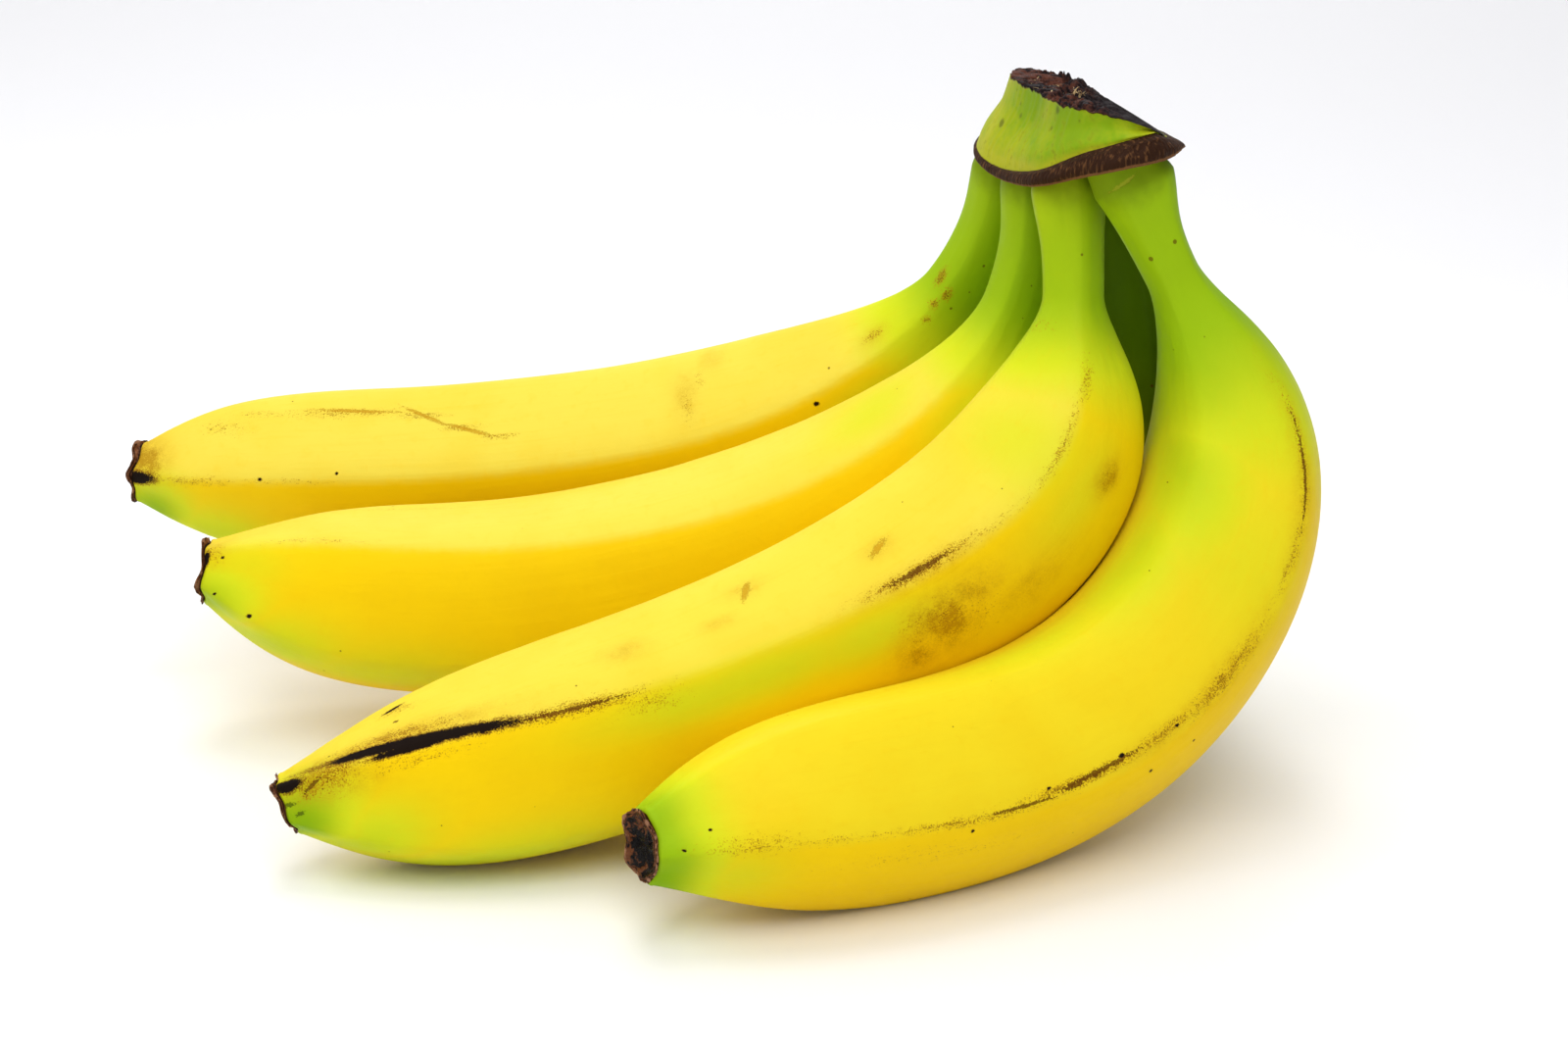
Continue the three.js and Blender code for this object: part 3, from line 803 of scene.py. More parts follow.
# Clumps of torn fibre on the cut: where each stands, how far its strands scatter, their reach
# and how many there are.
FIBRE_CLUMPS = [
    ((48.5, 45), 1.2, 2.0, 26),
    ((51, 36), 1.8, 1.4, 20),
    ((56.5, 36), 0.9, 2.8, 24),
    ((55, 28), 2.4, 1.2, 20),
    ((59, 33), 2.0, 1.0, 12),
]
STRAND_SEED = 5
STRAND_STEPS = 6
STRAND_SIDES = 4
# How deep a strand is rooted, in thicknesses, how far it leans and droops as shares of its length,
# the least and the most of its clump's length and of the thickness, and how much it tapers.
STRAND_ROOT = 2
STRAND_LEAN = 0.75
STRAND_DROOP = 0.35
STRAND_LENGTHS = (0.5, 1.1)
STRAND_WIDTHS = (0.6, 1.4)
STRAND_TAPER = 0.85


def fibre_strands(sides, thickness):
    """Torn fibres: each strand is a four-sided tapering tube along a parabola that leans over."""
    random = np.random.default_rng(STRAND_SEED)
    steps = np.linspace(0, 1, STRAND_STEPS)
    turn = np.arange(STRAND_SIDES) * 2 * math.pi / STRAND_SIDES
    ring = np.stack((np.cos(turn), np.sin(turn), 0 * turn), axis=-1)
    strands = []
    for place, spread, reach, count in FIBRE_CLUMPS:
        start = cut_points(np.array(place) + random.normal(0, spread, (count, 2)), sides)
        start[:, 2] -= STRAND_ROOT * thickness
        lean = random.normal(0, STRAND_LEAN, (count, 2))
        length = reach * random.uniform(*STRAND_LENGTHS, count)[:, None]
        rise = np.broadcast_to(steps - STRAND_DROOP * steps ** 2, (count, STRAND_STEPS))
        path = start[:, None] + length[..., None] * np.stack((
            lean[:, :1] * steps ** 2, lean[:, 1:] * steps ** 2, rise), axis=-1)
        wide = thickness * random.uniform(*STRAND_WIDTHS, count)[:, None] * (1 - STRAND_TAPER * steps)
        strands.append(path[:, :, None] + ring * wide[..., None, None])
    points = np.concatenate(strands)

    quads = np.roll(ring_quads(STRAND_STEPS, STRAND_SIDES)[:, ::-1], 1, axis=1)
    corners = np.arange(STRAND_SIDES)
    caps = np.stack((corners[::-1], corners + (STRAND_STEPS - 1) * STRAND_SIDES))
    first = np.arange(len(points))[:, None, None] * STRAND_STEPS * STRAND_SIDES
    faces = (np.concatenate((quads, caps)) + first).reshape(-1, STRAND_SIDES)
    return placed_mesh("torn_fibres", points.reshape(-1, 3), faces.tolist())


# --- Materials --------------------------------------------------------------------------------

def maths_method(operation):
    """A method that adds a Math node of that operation on its number and the values after it."""
    def method(number, *others):
        return number.maths(operation, *others)
    return method


class Number:
    """A number that varies over a surface. Python's operators on it add Math nodes."""

    def __init__(self, finish, socket):
        self.finish = finish
        self.socket = socket

    def maths(self, operation, *others):
        """A Math node on this number and the others, in order."""
        return self.finish.node("ShaderNodeMath", {"operation": operation}, (self, *others))

    __add__ = maths_method("ADD")
    __sub__ = maths_method("SUBTRACT")
    __mul__ = maths_method("MULTIPLY")
    __truediv__ = maths_method("DIVIDE")
    __pow__ = maths_method("POWER")
    at_least = maths_method("MAXIMUM")
    at_most = maths_method("MINIMUM")
    sine = maths_method("SINE")
    size = maths_method("ABSOLUTE")

    def __rsub__(self, other):
        return self * -1 + other

    def step(self, low, high):
        """0 below low, 1 above high, smooth between. high may be the smaller, to turn it round."""
        settings = {"interpolation_type": "SMOOTHSTEP", "clamp": True}
        return self.finish.node("ShaderNodeMapRange", settings, (self, low, high, 0.0, 1.0))


class Finish:
    """The nodes of a material or of the room's light, made from values and from other nodes'
    numbers and colours."""

    def __init__(self, owner):
        self.owner = owner
        owner.use_nodes = True
        self.tree = owner.node_tree
        self.tree.nodes.clear()

    def node(self, kind, settings, values, output=0):
        """A node of that kind. Its settings are set first, then its sockets, by place or name, from
        values or from other nodes' outputs. Gives the chosen output."""
        made = self.tree.nodes.new(kind)
        for name, value in settings.items():
            setattr(made, name, value)
        pairs = values.items() if isinstance(values, dict) else enumerate(values)
        for place, value in pairs:
            if isinstance(value, Number):
                self.tree.links.new(value.socket, made.inputs[place])
            else:
                made.inputs[place].default_value = value
        return Number(self, made.outputs[output]) if made.outputs else None

    def mix(self, share, first, second):
        """A colour between two, by share."""
        settings = {"data_type": "RGBA", "clamp_factor": True}
        first, second = (
            colour if isinstance(colour, Number) else (*colour, 1.0) for colour in (first, second)
        )
        return self.node("ShaderNodeMix", settings, {0: share, 6: first, 7: second}, 2)

    def noise(self, place, scale, detail=2.0, roughness=0.5):
        """Blender's noise, near 0.5 on average, with scale in waves for each unit of place."""
        values = {"Vector": place, "Scale": scale, "Detail": detail, "Roughness": roughness}
        return self.node("ShaderNodeTexNoise", {}, values)

    def cells(self, place, scale, output="Distance"):
        """The distance to the nearest of some scattered points, or that cell's own colour."""
        return self.node("ShaderNodeTexVoronoi", {}, {"Vector": place, "Scale": scale}, output)

    def stretched(self, place, scale):
        """The place with its axes scaled."""
        return self.node("ShaderNodeMapping", {}, {"Vector": place, "Scale": scale})

    def attribute(self, name, output):
        """What the piece's vertices carry under that name."""
        return self.node("ShaderNodeAttribute", {"attribute_name": name}, (), output)

    def own_place(self):
        """The place on the piece, in metres."""
        return self.node("ShaderNodeTexCoord", {}, (), "Object")

    def parts(self, place):
        """The three numbers of a place."""
        split = self.node("ShaderNodeSeparateXYZ", {}, (place,))
        outputs = split.socket.node.outputs
        return [Number(self, outputs[axis]) for axis in range(3)]

    def surface(self, colour, roughness, height, distance, **constants):
        """The shader: colour, roughness and bump vary, and the constants are set on its sockets."""
        bump = self.node("ShaderNodeBump", {}, {"Height": height, "Distance": distance})
        values = {"Base Color": colour, "Roughness": roughness, "Normal": bump}
        values.update({name.replace("_", " "): value for name, value in constants.items()})
        shader = self.node("ShaderNodeBsdfPrincipled", {}, values)
        self.node("ShaderNodeOutputMaterial", {}, {"Surface": shader})
        return self.owner


def surface_finish(name):
    """The finish of a new material."""
    return Finish(bpy.data.materials.new(name))


# Marks on each banana by kind: millimetres along and from the front ridge towards the underside, half
# its length and half its width, and its turn in degrees.
MARKS = [
    dict(
        stain=[(152, -15.2, 6.5, 0.6, -30), (142, -10.6, 6.5, 0.55, -22),
            (168, -17.6, 10, 0.55, -4)],
        black=[(217.6, 0.5, 4.6, 1.6, 0), (188, -0.2, 0.5, 0.4, 0), (171, -1.5, 0.4, 0.35, 0),
            (63.7, 2.3, 0.55, 0.5, 0)],
    ),
    dict(
        black=[(200.9, 15.9, 0.5, 0.4, 0), (208.9, 10.4, 0.35, 0.3, 0), (209.2, 2.2, 0.3, 0.3, 0),
            # The next mark is painted shadow on the skin behind the middle of the flower end's rim.
            (212.6, 2.6, 0.8, 2.1, 0)],
    ),
    dict(
        olive=[(213, 4.2, 1.1, 0.5, 0), (211, 6.6, 0.9, 0.5, 0)],
        stain=[(119, -15, 3, 0.8, 60), (92, -10, 2.6, 0.9, 30)],
        brown=[(160, 0.6, 12, 0.45, 0), (88, -1.3, 7.5, 0.6, 0), (90.5, -1.2, 2.8, 0.7, 0),
            (208.5, 1.6, 2.2, 0.4, 30), (191.6, -8.4, 0.6, 0.4, 0)],
        black=[(186.6, -0.6, 20.5, 1.35, -3.5), (190, 0.4, 8, 0.9, 0),
            (197.5, -1.3, 8.5, 1.25, -3), (213, 0.2, 2.8, 1.5, 0), (191.6, -14.3, 2.2, 0.45, 25)],
    ),
    dict(
        # The pale mark is a painted highlight along the crease where the neck meets the crown.
        pale=[(-2.4, -7.8, 3.4, 0.4, -78)],
        brown=[(137.3, -1.3, 2.8, 0.7, 0), (131, -1.9, 8, 0.6, 2), (60, -0.9, 11, 0.35, 0),
            (148, -0.6, 7, 0.35, 0)],
        black=[(204.6, -4.1, 0.32, 0.26, 20), (209.5, -0.8, 0.36, 0.26, -25),
            (142.2, -2.4, 0.4, 0.3, 0), (126, -2.6, 0.6, 0.4, 0), (158.2, 2, 0.35, 0.35, 0),
            (120.7, 4.6, 0.35, 0.35, 0), (113.4, -1.4, 0.4, 0.3, 0), (110.8, 5.5, 0.3, 0.3, 0)],
    ),
    dict(
        brown=[(120, 0, 12, 0.7, 0)],
    ),
]


def skin_finish(number, colours):
    """A banana's skin in its straightened place: paler above the front ridge with painted sheen and
    golden below it with painted shade, with its green tint, painted shade on its neck, bruises,
    scuffs, dark marks with one painted shadow, a painted highlight on one neck, fine lines, scattered
    dots and brown cup."""
    banana = BANANAS[number]
    finish = surface_finish(f"banana_skin_{number + 1}")
    straight = finish.attribute("straight", "Vector")
    green, bruise, scuff = finish.parts(finish.attribute("tint", "Vector"))
    cup = finish.attribute("cup", "Fac")
    x, y, along = finish.parts(straight)
    radius = (x * x + y * y) ** 0.5
    ridge_neck, ridge_tip = (math.radians(degrees) for degrees in banana["ridge"])
    ridge = along * ((ridge_tip - ridge_neck) / banana["length"]) + ridge_neck
    turned = y.maths("ARCTAN2", x) - ridge
    across = turned * radius

    broad = finish.noise(straight, 0.04, 2.0)
    fine = finish.noise(straight, 0.4, 3.0)
    grit = finish.noise(straight, 3.4, 2.0)
    lines = finish.noise(finish.stretched(straight, (1.0, 1.0, 0.05)), 0.9, 3.0)
    streaks = finish.noise(finish.stretched(straight, (1.0, 1.0, 0.3)), 1.3, 3.0)

    beside = turned.sine() * radius + (fine - 0.5)
    # Painted shade: below the front ridge the skin turns golden.
    below = beside.step(-1.0, 2.0)
    # Painted sheen: above the front ridge each banana's skin turns paler, by its own share.
    ripe = finish.mix(PAINTED_SHEEN[number], colours.ripe_colour, colours.painted_highlight_colour)
    ripe = finish.mix(below, ripe, colours.golden_painted_shade)
    ripe = finish.mix((broad - 0.42) * 1.2, ripe, colours.deep_colour)
    greener = green + (broad - 0.5) * green.at_most(0.6) * 0.5
    # Painted shade: the neck's green darkens to the shaded green towards its underside.
    neck = finish.mix(beside.step(-3.0, 8.0), colours.green_colour, colours.shade_green)
    # Painted shade: the top of each neck, just under the crown, darkens towards olive.
    neck = finish.mix((along + (fine - 0.5) * 4).step(4.5, -1.5) * 0.4, neck, colours.olive_and_painted_shade)
    # Painted shade: the hidden banana's neck turns deep green on its front side, where its neighbours
    # shade it.
    if number == HIDDEN_BANANA:
        neck = finish.mix(turned.size().step(1.9, 1.1), neck, colours.hidden_painted_shade)
    colour = finish.mix(greener.step(0.0, 0.5), ripe, colours.turning_colour)
    colour = finish.mix(greener.step(0.35, 1.0), colour, neck)
    mottle = (lines - 0.52).at_least(0) * 0.5 + (fine - 0.56).at_least(0) * 0.8
    colour = finish.mix(mottle * (1 - green.at_most(1.0)), colour, colours.deep_colour)

    brown = bruise * ((fine - 0.5) * 1.7 + (grit - 0.5) * 1.8 + 0.86)
    tone = finish.mix(brown.step(0.2, 0.75), colours.stain_colour, colours.bruise_colour)
    colour = finish.mix(brown.at_most(0.85).at_least(0), colour, tone)
    grains = scuff * 0.92 + (grit - 0.5) * 2.0 + (streaks - 0.5) * 0.9
    tone = finish.mix(grains.step(0.65, 1.15), colours.stain_colour, colours.scuff_colour)
    grains = grains.step(0.45, 0.9) * scuff.step(0.0, 0.2)
    colour = finish.mix(grains * 0.78, colour, tone)
    dots = finish.cells(straight, 0.21)
    chance, _, _ = finish.parts(finish.cells(straight, 0.21, "Color"))
    dot = ((chance - 0.66 + green * 0.26).at_least(0) * 0.2 - dots).step(0.0, 0.02)
    colour = finish.mix(dot * 0.7, colour, colours.scuff_colour)
    dark = dot
    for kind, shade, strength, rough_edge in (
            # Pale marks are painted highlight.
            ("pale", colours.painted_highlight_colour, 0.22, 2.4), ("olive", colours.olive_and_painted_shade, 0.8, 3.0),
            ("stain", colours.stain_colour, 0.7, 2.4), ("brown", colours.scuff_colour, 0.8, 2.4),
            # Black marks are scars, and one is painted shadow by a flower end's rim.
            ("black", colours.scar_and_shadow_colour, 0.98, 0.7)):
        if kind not in MARKS[number]:
            continue
        nearest = nearest_mark(along, across, MARKS[number][kind]) + (fine - 0.5) * 0.6
        if kind == "black":
            halo = (nearest + (grit - 0.5) * 1.6).step(-0.4, 0.1)
            colour = finish.mix(halo * 0.8, colour, colours.rust_colour)
        mask = (nearest + (grit - 0.5) * rough_edge).step(0.0, 0.25)
        colour = finish.mix(mask * strength, colour, shade)
        dark = dark.at_least(mask)
    colour = finish.mix((cup + (fine - 0.5) * 0.3).step(0.45, 0.8), colour, colours.scuff_colour)
    roughness = fine * 0.12 + dark * 0.2 + colours.gloss_roughness
    height = fine * 0.4 + lines * 0.35 - dark * 0.4 + grains * 0.25
    return finish.surface(colour, roughness, height, distance=0.0002, Specular_IOR_Level=0.045)


def nearest_mark(along, across, marks):
    """1 at the middle of the nearest of some oval marks, 0 at its edge and negative outside."""
    nearest = None
    for place, offset, length, width, turn in marks:
        cosine, sine = math.cos(math.radians(turn)), math.sin(math.radians(turn))
        beside, over = along - place, across - offset
        if turn:
            beside, over = beside * cosine + over * sine, over * cosine - beside * sine
        inside = 1 - ((beside / length) ** 2 + (over / width) ** 2) ** 0.5
        nearest = inside if nearest is None else nearest.at_least(inside)
    return nearest


# Where the crown changes, in metres in the frame. Along X: its left and right ends turn yellow, its
# right back end is dried, which Y limits too, and the cut's torn part ends.
LEFT_YELLOWING = (0.07, 0.06)
RIGHT_YELLOWING = (0.076, 0.088)
DRIED_END_X = (0.084, 0.087)
DRIED_END_Y = (-0.003, 0.0)
TORN_END = (0.084, 0.072)


def crown_finish(colours):
    """The crown by its zone: a fibrous brown band with a paler lower lip, green skin with soft dark
    specks that yellows towards its edges and ends and dries at the rim and the right back end, and
    the blackened cut, rusty where it is torn."""
    finish = surface_finish("crown_stump")
    place = finish.own_place()
    zone = finish.attribute("zone", "Fac")
    x, y, _ = finish.parts(place)
    mottle = finish.noise(place, 90.0, 3.0)
    fine = finish.noise(place, 700.0, 3.0)
    flecks = finish.noise(finish.stretched(place, (1500.0, 1500.0, 260.0)), 1.0, 3.0)
    spots = finish.cells(place, 210.0)
    chance, _, _ = finish.parts(finish.cells(place, 210.0, "Color"))

    ends = x.step(*LEFT_YELLOWING) * 0.8 + x.step(*RIGHT_YELLOWING) * 1.2
    edges = zone.step(1.25, 1.0) * 0.8 + zone.step(1.85, 1.98) * 0.6
    yellow = ends + edges + (mottle - 0.5) * 2.2 + (fine - 0.5) * 1.0
    skin = finish.mix(yellow.at_most(1.0).at_least(0.0), colours.crown_green, colours.crown_yellow)
    spot = ((chance - 0.35).at_least(0) * 0.4 - spots + (fine - 0.5) * 0.25).step(-0.06, 0.1)
    skin = finish.mix((fine.step(0.5, 0.75) * mottle.step(0.4, 0.6)) * 0.4, skin, colours.crown_speck)
    skin = finish.mix(spot * 0.65, skin, colours.crown_speck)
    far_end = x.step(*DRIED_END_X) * y.step(*DRIED_END_Y)
    dried = far_end.at_least((zone + (fine - 0.5) * 0.12).step(1.9, 1.97))
    skin = finish.mix(dried * 0.85, skin, colours.band_dark)
    band = finish.mix(flecks.step(0.5, 0.8), colours.band_dark, colours.band_light)
    band = finish.mix((zone + (fine - 0.5) * 0.2).step(-0.8, -0.9), band, colours.band_light)
    torn = x.step(*TORN_END) * (fine + (mottle - 0.5) * 0.8).step(0.42, 0.7)
    cut = finish.mix(torn, colours.cut_dark, colours.cut_rust)
    colour = finish.mix((zone + (fine - 0.5) * 0.04).step(0.98, 1.02), band, skin)
    colour = finish.mix((zone + (fine - 0.5) * 0.01).step(1.985, 1.995), colour, cut)
    rough = zone.step(0.99, 0.98) + zone.step(1.98, 1.99)
    height = (flecks + fine * 0.6) * (rough * 0.9 + 0.1)
    roughness = rough * 0.2 + fine * 0.2 + 0.4
    return finish.surface(colour, roughness, height, distance=0.0004, Specular_IOR_Level=0.08)


def flower_finish(colours):
    """Dried flower: brown rim with fine dark and papery folds round it, and a shiny black hollow
    with reddish-brown lumps."""
    finish = surface_finish("dried_flower")
    place = finish.own_place()
    fold = finish.attribute("fold", "Fac")
    fine = finish.noise(place, 900.0, 4.0, 0.6)
    broad = finish.noise(place, 420.0, 2.0)
    folds = (fold * 70 + (broad - 0.5) * 9).sine() * 0.5 + (fine - 0.5) * 1.5 + 0.5
    colour = finish.mix(folds.step(0.1, 0.9), colours.flower_dark, colours.flower_brown)
    crests = fold.step(0.2, 0.34) * fold.step(0.6, 0.5) * (broad + (fine - 0.5) * 1.4).step(0.48, 0.66)
    colour = finish.mix(crests * 0.75, colour, colours.flower_pale)
    hollow = (fold + (broad - 0.5) * 0.3).step(0.6, 0.68)
    lumps = (broad + (fine - 0.5) * 0.5 - (fold - 0.7) * 0.35).step(0.5, 0.6)
    inside = finish.mix(lumps * 0.85, colours.flower_black, colours.flower_brown)
    colour = finish.mix(hollow, colour, inside)
    roughness = (1 - hollow) * 0.4 + fine * 0.35 + 0.08
    height = fine + broad * 1.5
    return finish.surface(colour, roughness, height, distance=0.0009, Specular_IOR_Level=0.12)


def fibre_finish(colours):
    """Straw-coloured torn fibre, darker in places."""
    finish = surface_finish("torn_fibres")
    place = finish.own_place()
    shade = finish.noise(place, 500.0, 2.0)
    colour = finish.mix(shade.step(0.32, 0.5), colours.cut_rust, colours.fibre_colour)
    return finish.surface(colour, shade * 0.2 + 0.6, shade, distance=0.0001, Specular_IOR_Level=0.3)


def stage_finish(colours):
    """A matt pale surface that turns a little cooler towards the back, with a faint cloudiness."""
    finish = surface_finish("stage")
    place = finish.own_place()
    cloud = finish.noise(place, 3.0, 2.0)
    _, depth, _ = finish.parts(place)
    shade = finish.mix(depth.step(0.2, 0.5), tuple(colours.floor_colour), tuple(colours.back_colour))
    return finish.surface(shade, cloud * 0.05 + 0.6, cloud, distance=0.0001, Specular_IOR_Level=0.2)


# How bright the room itself looks to the camera.
ROOM_SEEN = 0.95


def room_light(settings):
    """Even light that is stronger from the camera's side. What is seen of it directly is pale."""
    finish = Finish(bpy.data.worlds.new("room_light"))
    direction = finish.node("ShaderNodeTexCoord", {}, (), "Generated")
    _, depth, _ = finish.parts(direction)
    difference = settings.back_strength - settings.front_strength
    strength = depth.step(-0.3, 0.3) * difference + settings.front_strength
    seen = finish.node("ShaderNodeLightPath", {}, (), "Is Camera Ray")
    strength = strength * (1 - seen) + seen * ROOM_SEEN
    values = {"Color": (1.0, 1.0, 1.0, 1.0), "Strength": strength}
    light = finish.node("ShaderNodeBackground", {}, values)
    finish.node("ShaderNodeOutputWorld", {}, {"Surface": light})
    return finish.owner


# --- Settings ---------------------------------------------------------------------------------

def colour_setting(name, description, default):
    """A colour that a user may change."""
    return FloatVectorProperty(
        name=name, description=description, default=default, subtype="COLOR", min=0, max=1)


class SkinSettings(bpy.types.PropertyGroup):
    rings: IntProperty(name="Rings", description="Rings along a skin", default=380, min=40)
    sides: IntProperty(name="Sides", description="Sides around a skin", default=150, min=20)
    # Painted sheen: the palest skin above a front ridge, also the painted highlight of the pale marks.
    painted_highlight_colour: colour_setting("Pale", "The palest skin above a front ridge", (0.81, 0.65, 0.07))
    ripe_colour: colour_setting("Ripe", "Yellow skin above a front ridge", (0.84, 0.63, 0.004))
    # Painted shade: the golden skin below the ridge.
    golden_painted_shade: colour_setting("Golden", "Golden skin below the ridge", (0.88, 0.59, 0.002))
    deep_colour: colour_setting("Deep", "Deeper mottling and lines", (0.8, 0.5, 0.002))
    turning_colour: colour_setting("Turning", "Skin that turns from green", (0.62, 0.67, 0.012))
    green_colour: colour_setting("Green", "Green neck and tip", (0.3, 0.48, 0.006))
    # Painted shade on the neck's underside.
    shade_green: colour_setting("Shaded green", "The neck's underside", (0.21, 0.39, 0.003))
    # Painted shade on the hidden neck's front side.
    hidden_painted_shade: colour_setting("Hidden green", "The hidden neck's front side", (0.09, 0.17, 0.0013))
    # Dark green marks, and the painted shade at the top of each neck.
    olive_and_painted_shade: colour_setting("Olive", "Dark green marks", (0.06, 0.09, 0.003))
    stain_colour: colour_setting("Stain", "Faint orange stains", (0.52, 0.25, 0.004))
    bruise_colour: colour_setting("Bruise", "Brown bruises", (0.38, 0.18, 0.001))
    scuff_colour: colour_setting("Scuff", "Brown grains and dots", (0.11, 0.03, 0.002))
    rust_colour: colour_setting("Rust", "Rusty edges of the scars", (0.17, 0.05, 0.003))
    # Black scars, and the painted shadow of one black mark.
    scar_and_shadow_colour: colour_setting("Scar", "Black scars", (0.004, 0.002, 0.003))
    gloss_roughness: FloatProperty(
        name="Roughness", description="Roughness of the satin skin", default=0.4, min=0, max=1)


class CrownSettings(bpy.types.PropertyGroup):
    sides: IntProperty(name="Sides", description="Points around the crown", default=420, min=48)
    fibre: FloatProperty(name="Fibre", description="Roughness of the band", default=1.0, min=0)
    strand_width: FloatProperty(
        name="Strand width", description="Thickness of a torn fibre", default=0.00022,
        unit="LENGTH", min=0)
    crown_green: colour_setting("Green", "The crown's green skin", (0.2, 0.33, 0.003))
    crown_yellow: colour_setting("Yellow", "The crown's yellowish edges", (0.42, 0.44, 0.01))
    crown_speck: colour_setting("Specks", "Soft dark specks", (0.06, 0.06, 0.004))
    band_dark: colour_setting("Band", "The brown band", (0.028, 0.01, 0.004))
    band_light: colour_setting("Band fibres", "Paler fibres in the band", (0.16, 0.07, 0.025))
    cut_dark: colour_setting("Cut", "The blackened cut", (0.008, 0.004, 0.005))
    cut_rust: colour_setting("Rust", "Rusty torn fibre", (0.09, 0.028, 0.016))
    fibre_colour: colour_setting("Fibre", "Straw-coloured fibre", (0.5, 0.34, 0.16))


class FlowerSettings(bpy.types.PropertyGroup):
    rings: IntProperty(name="Rings", description="Rings along the profile", default=110, min=20)
    sides: IntProperty(name="Sides", description="Sides around a flower end", default=200, min=20)
    wrinkle: FloatProperty(
        name="Wrinkle", description="Depth of the papery wrinkles", default=0.00045,
        unit="LENGTH", min=0)
    flower_dark: colour_setting("Dark", "Dark folds", (0.022, 0.007, 0.003))
    flower_brown: colour_setting("Brown", "Brown dried flesh", (0.17, 0.055, 0.018))
    flower_pale: colour_setting("Pale", "Papery crests", (0.4, 0.2, 0.11))
    flower_black: colour_setting("Hollow", "The black hollow", (0.004, 0.0025, 0.0025))


class StageSettings(bpy.types.PropertyGroup):
    floor_colour: colour_setting("Floor", "The pale floor", (0.9, 0.9, 0.9))
    back_colour: colour_setting("Back", "The floor far behind the bunch", (0.86, 0.86, 0.88))
    light_power: FloatProperty(
        name="Light power", description="Share of the soft lights' power", default=1.0, min=0)
    back_strength: FloatProperty(
        name="Room behind", description="Even light from behind the bunch", default=0.26, min=0)
    front_strength: FloatProperty(
        name="Room in front", description="Even light from the camera's side", default=0.5, min=0)
    camera_distance: FloatProperty(
        name="Camera distance", description="From the camera to the bunch", default=0.5538,
        unit="LENGTH", min=0)
    camera_elevation: FloatProperty(
        name="Camera elevation", description="Angle of the camera above the surface",
        default=math.radians(18), subtype="ANGLE")
    lens: FloatProperty(
        name="Lens", description="Focal length on a 36 mm wide sensor", default=67.5,
        unit="CAMERA", min=1)


# --- Operators --------------------------------------------------------------------------------

def finished(piece, material, node):
    """Gives a piece its material and slot, and puts it in the place of its solid."""
    piece.data.materials.append(material)
    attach(piece, BODY)
    if node is not None:
        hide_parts(node)
    return piece


class BANANAS_OT_skins(bpy.types.Operator):
    """Build the fine banana skins"""
    bl_idname = "bananas.skins"
    bl_label = "Banana Skins"

    def execute(self, context):
        settings = context.scene.banana_skins
        for number in range(len(BANANAS)):
            piece = banana_skin(number, settings.rings, settings.sides)
            finished(piece, skin_finish(number, settings), f"banana_{number + 1}")
        return {"FINISHED"}


class BANANAS_OT_crown(bpy.types.Operator):
    """Build the crown with its brown band, torn cut and fibres"""
    bl_idname = "bananas.crown"
    bl_label = "Crown"

    def execute(self, context):
        settings = context.scene.banana_crown
        piece = crown_piece(settings.sides, settings.fibre)
        finished(piece, crown_finish(settings), "crown")
        strands = fibre_strands(settings.sides, settings.strand_width / MM)
        finished(strands, fibre_finish(settings), None)
        return {"FINISHED"}


class BANANAS_OT_flowers(bpy.types.Operator):
    """Build the dried flower ends"""
    bl_idname = "bananas.flowers"
    bl_label = "Flower Ends"

    def execute(self, context):
        settings = context.scene.banana_flowers
        material = flower_finish(settings)
        for number in range(len(BANANAS)):
            piece = flower_end(number, settings.rings, settings.sides, settings.wrinkle / MM)
            finished(piece, material, f"flower_end_{number + 1}")
        return {"FINISHED"}


BEND_STEPS = 24


def sweep_mesh(width, front, bend, radius, height):
    """The stage: a level strip that bends up in a quarter circle into an upright wall, as one
    profile carried sideways."""
    turn = np.linspace(0, math.pi / 2, BEND_STEPS)
    y = np.concatenate(([-front, 0.0], bend + radius * np.sin(turn), [bend + radius]))
    z = np.concatenate(([0.0, 0.0], radius * (1 - np.cos(turn)), [height]))
    count = len(y)
    left = np.stack((np.full(count, -width), y, z), axis=-1)
    right = left * np.array([-1, 1, 1])
    row = np.arange(count - 1)
    faces = np.stack((row, row + count, row + count + 1, row + 1), axis=-1)
    return mesh_object("stage_sweep", np.concatenate((left, right)), faces.tolist())


BUNCH_PLACE = (0.0, 0.0, 0.03)
# Round soft lights: name, place, what each is aimed at, diameter, in metres, and watts.
SOFT_LIGHTS = [
    ("overhead_light", (0.0, 0.0, 1.2), BUNCH_PLACE, 0.4, 2.0),
    ("back_light", (0.0, 0.3, 1.15), BUNCH_PLACE, 0.45, 2.0),
    ("front_light", (0.0, -0.7, 1.1), BUNCH_PLACE, 1.0, 8.2),
    ("left_light", (-0.9, 0.1, 0.8), BUNCH_PLACE, 0.8, 3.4),
    ("backdrop_light", (0.0, 1.9, 1.3), (0.0, 1.3, 0.0), 1.8, 16.0),
]
# The point that the camera looks at, in the sketch's millimetres, its sensor's width in
# millimetres, and the nearest and farthest that it sees, in metres.
CAMERA_TARGET = (0.0, 0.0, 59.6)
SENSOR_WIDTH = 36.0
CAMERA_RANGE = (0.01, 20.0)


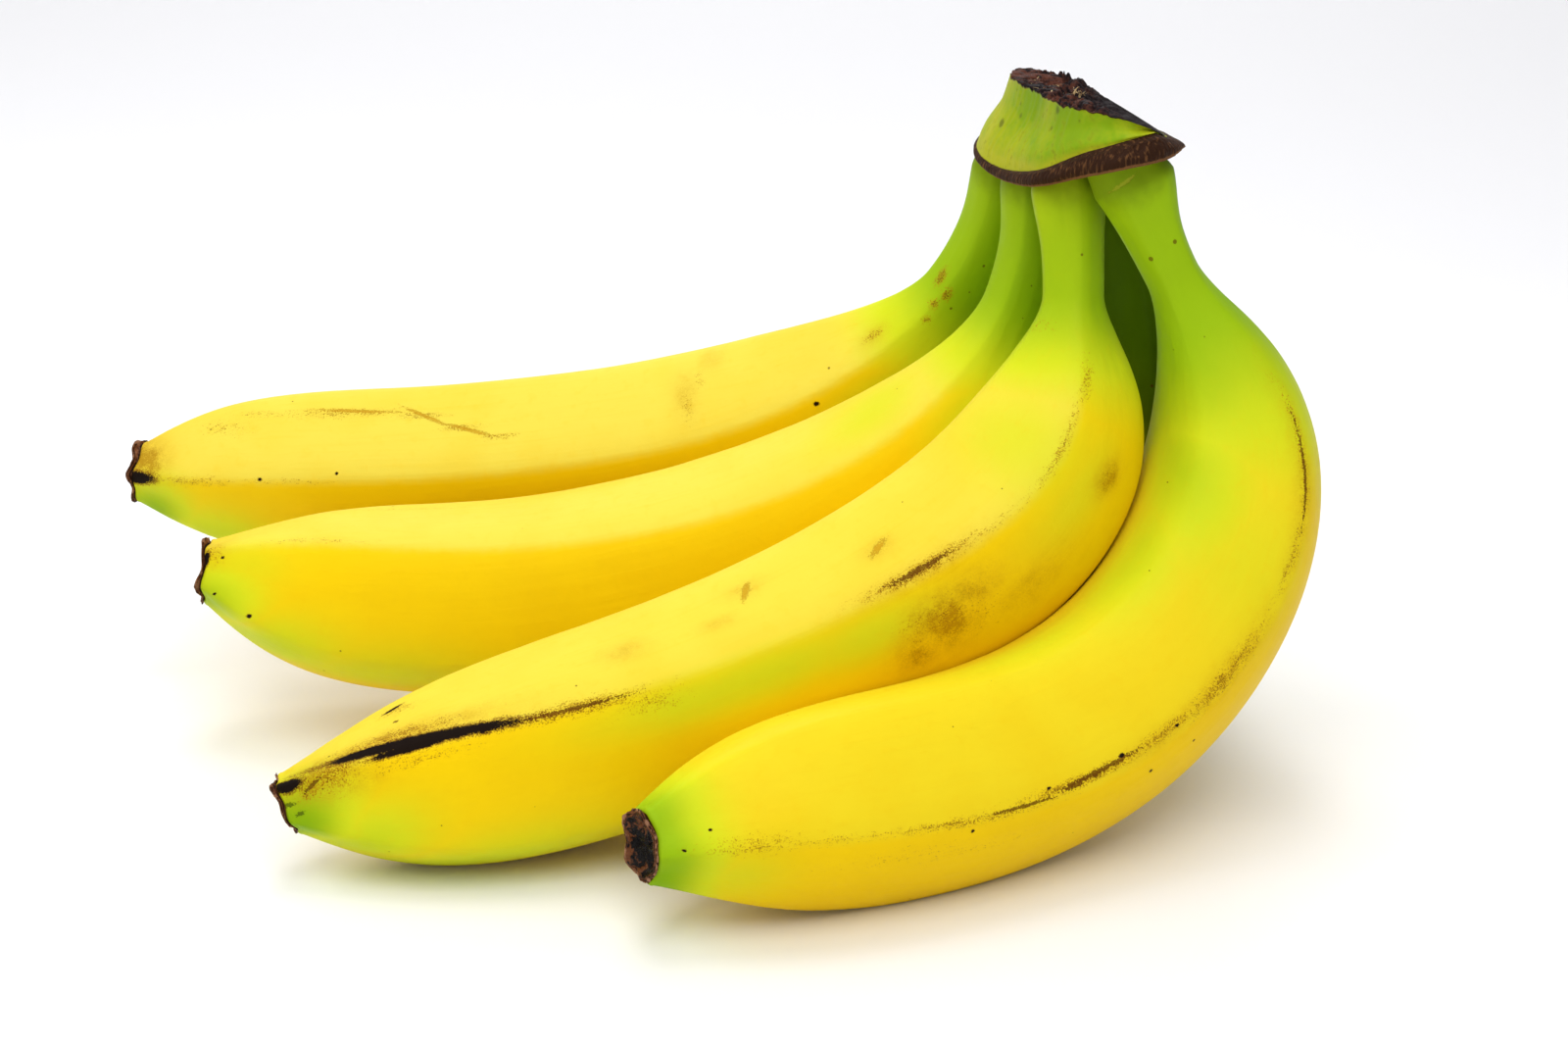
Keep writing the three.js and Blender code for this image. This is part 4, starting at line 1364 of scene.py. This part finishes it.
class BANANAS_OT_stage(bpy.types.Operator):
    """Build the pale floor, the soft light and the camera"""
    bl_idname = "bananas.stage"
    bl_label = "Stage"

    def execute(self, context):
        settings = context.scene.banana_stage
        sweep = sweep_mesh(width=6.0, front=4.0, bend=2.2, radius=1.0, height=4.0)
        sweep.data.materials.append(stage_finish(settings))
        for name, place, aim, size, power in SOFT_LIGHTS:
            self.add_area(name, place, aim, size, power * settings.light_power)
        context.scene.world = room_light(settings)
        context.scene.view_settings.view_transform = "Standard"
        self.add_camera(context, settings)
        return {"FINISHED"}

    def add_area(self, name, place, aim, size, power):
        """A round light at its place, turned so that it shines at its aim."""
        light = bpy.data.lights.new(name, "AREA")
        light.shape = "DISK"
        light.size = size
        light.energy = power
        lamp = bpy.data.objects.new(name, light)
        lamp.location = place
        away = np.array(place) - np.array(aim)
        tilt = math.acos(away[2] / np.linalg.norm(away))
        lamp.rotation_euler = (tilt, 0, math.atan2(away[1], away[0]) + math.pi / 2)
        bpy.context.scene.collection.objects.link(lamp)

    def add_camera(self, context, settings):
        """The camera looks along +Y, down by its elevation, at a point in the bunch."""
        target = np.array(CAMERA_TARGET) - MIDDLE
        elevation = settings.camera_elevation
        back = np.array([0.0, -math.cos(elevation), math.sin(elevation)])
        camera = bpy.data.cameras.new("camera")
        camera.sensor_width = SENSOR_WIDTH
        camera.lens = settings.lens
        camera.clip_start, camera.clip_end = CAMERA_RANGE
        holder = bpy.data.objects.new("camera", camera)
        holder.location = target * MM + back * settings.camera_distance
        holder.rotation_euler = (math.pi / 2 - elevation, 0.0, 0.0)
        context.scene.collection.objects.link(holder)
        context.scene.camera = holder


OPERATORS = (BANANAS_OT_skins, BANANAS_OT_crown, BANANAS_OT_flowers, BANANAS_OT_stage)


class BANANAS_PT_panel(bpy.types.Panel):
    """Lists the bunch's pieces"""
    bl_idname = "BANANAS_PT_panel"
    bl_label = "Banana Bunch"
    bl_space_type = "VIEW_3D"
    bl_region_type = "UI"
    bl_category = "Bananas"

    def draw(self, context):
        for operator in OPERATORS:
            self.layout.operator(operator.bl_idname)


SETTINGS = {
    "banana_skins": SkinSettings,
    "banana_crown": CrownSettings,
    "banana_flowers": FlowerSettings,
    "banana_stage": StageSettings,
}
CLASSES = (*SETTINGS.values(), *OPERATORS, BANANAS_PT_panel)


def register():
    for cls in CLASSES:
        bpy.utils.register_class(cls)
    for name, group in SETTINGS.items():
        setattr(bpy.types.Scene, name, PointerProperty(type=group))


def unregister():
    for name in SETTINGS:
        delattr(bpy.types.Scene, name)
    for cls in reversed(CLASSES):
        bpy.utils.unregister_class(cls)


def main():
    register()
    bpy.ops.bananas.skins()
    bpy.ops.bananas.crown()
    bpy.ops.bananas.flowers()
    bpy.ops.bananas.stage()


if __name__ == "__main__":
    main()
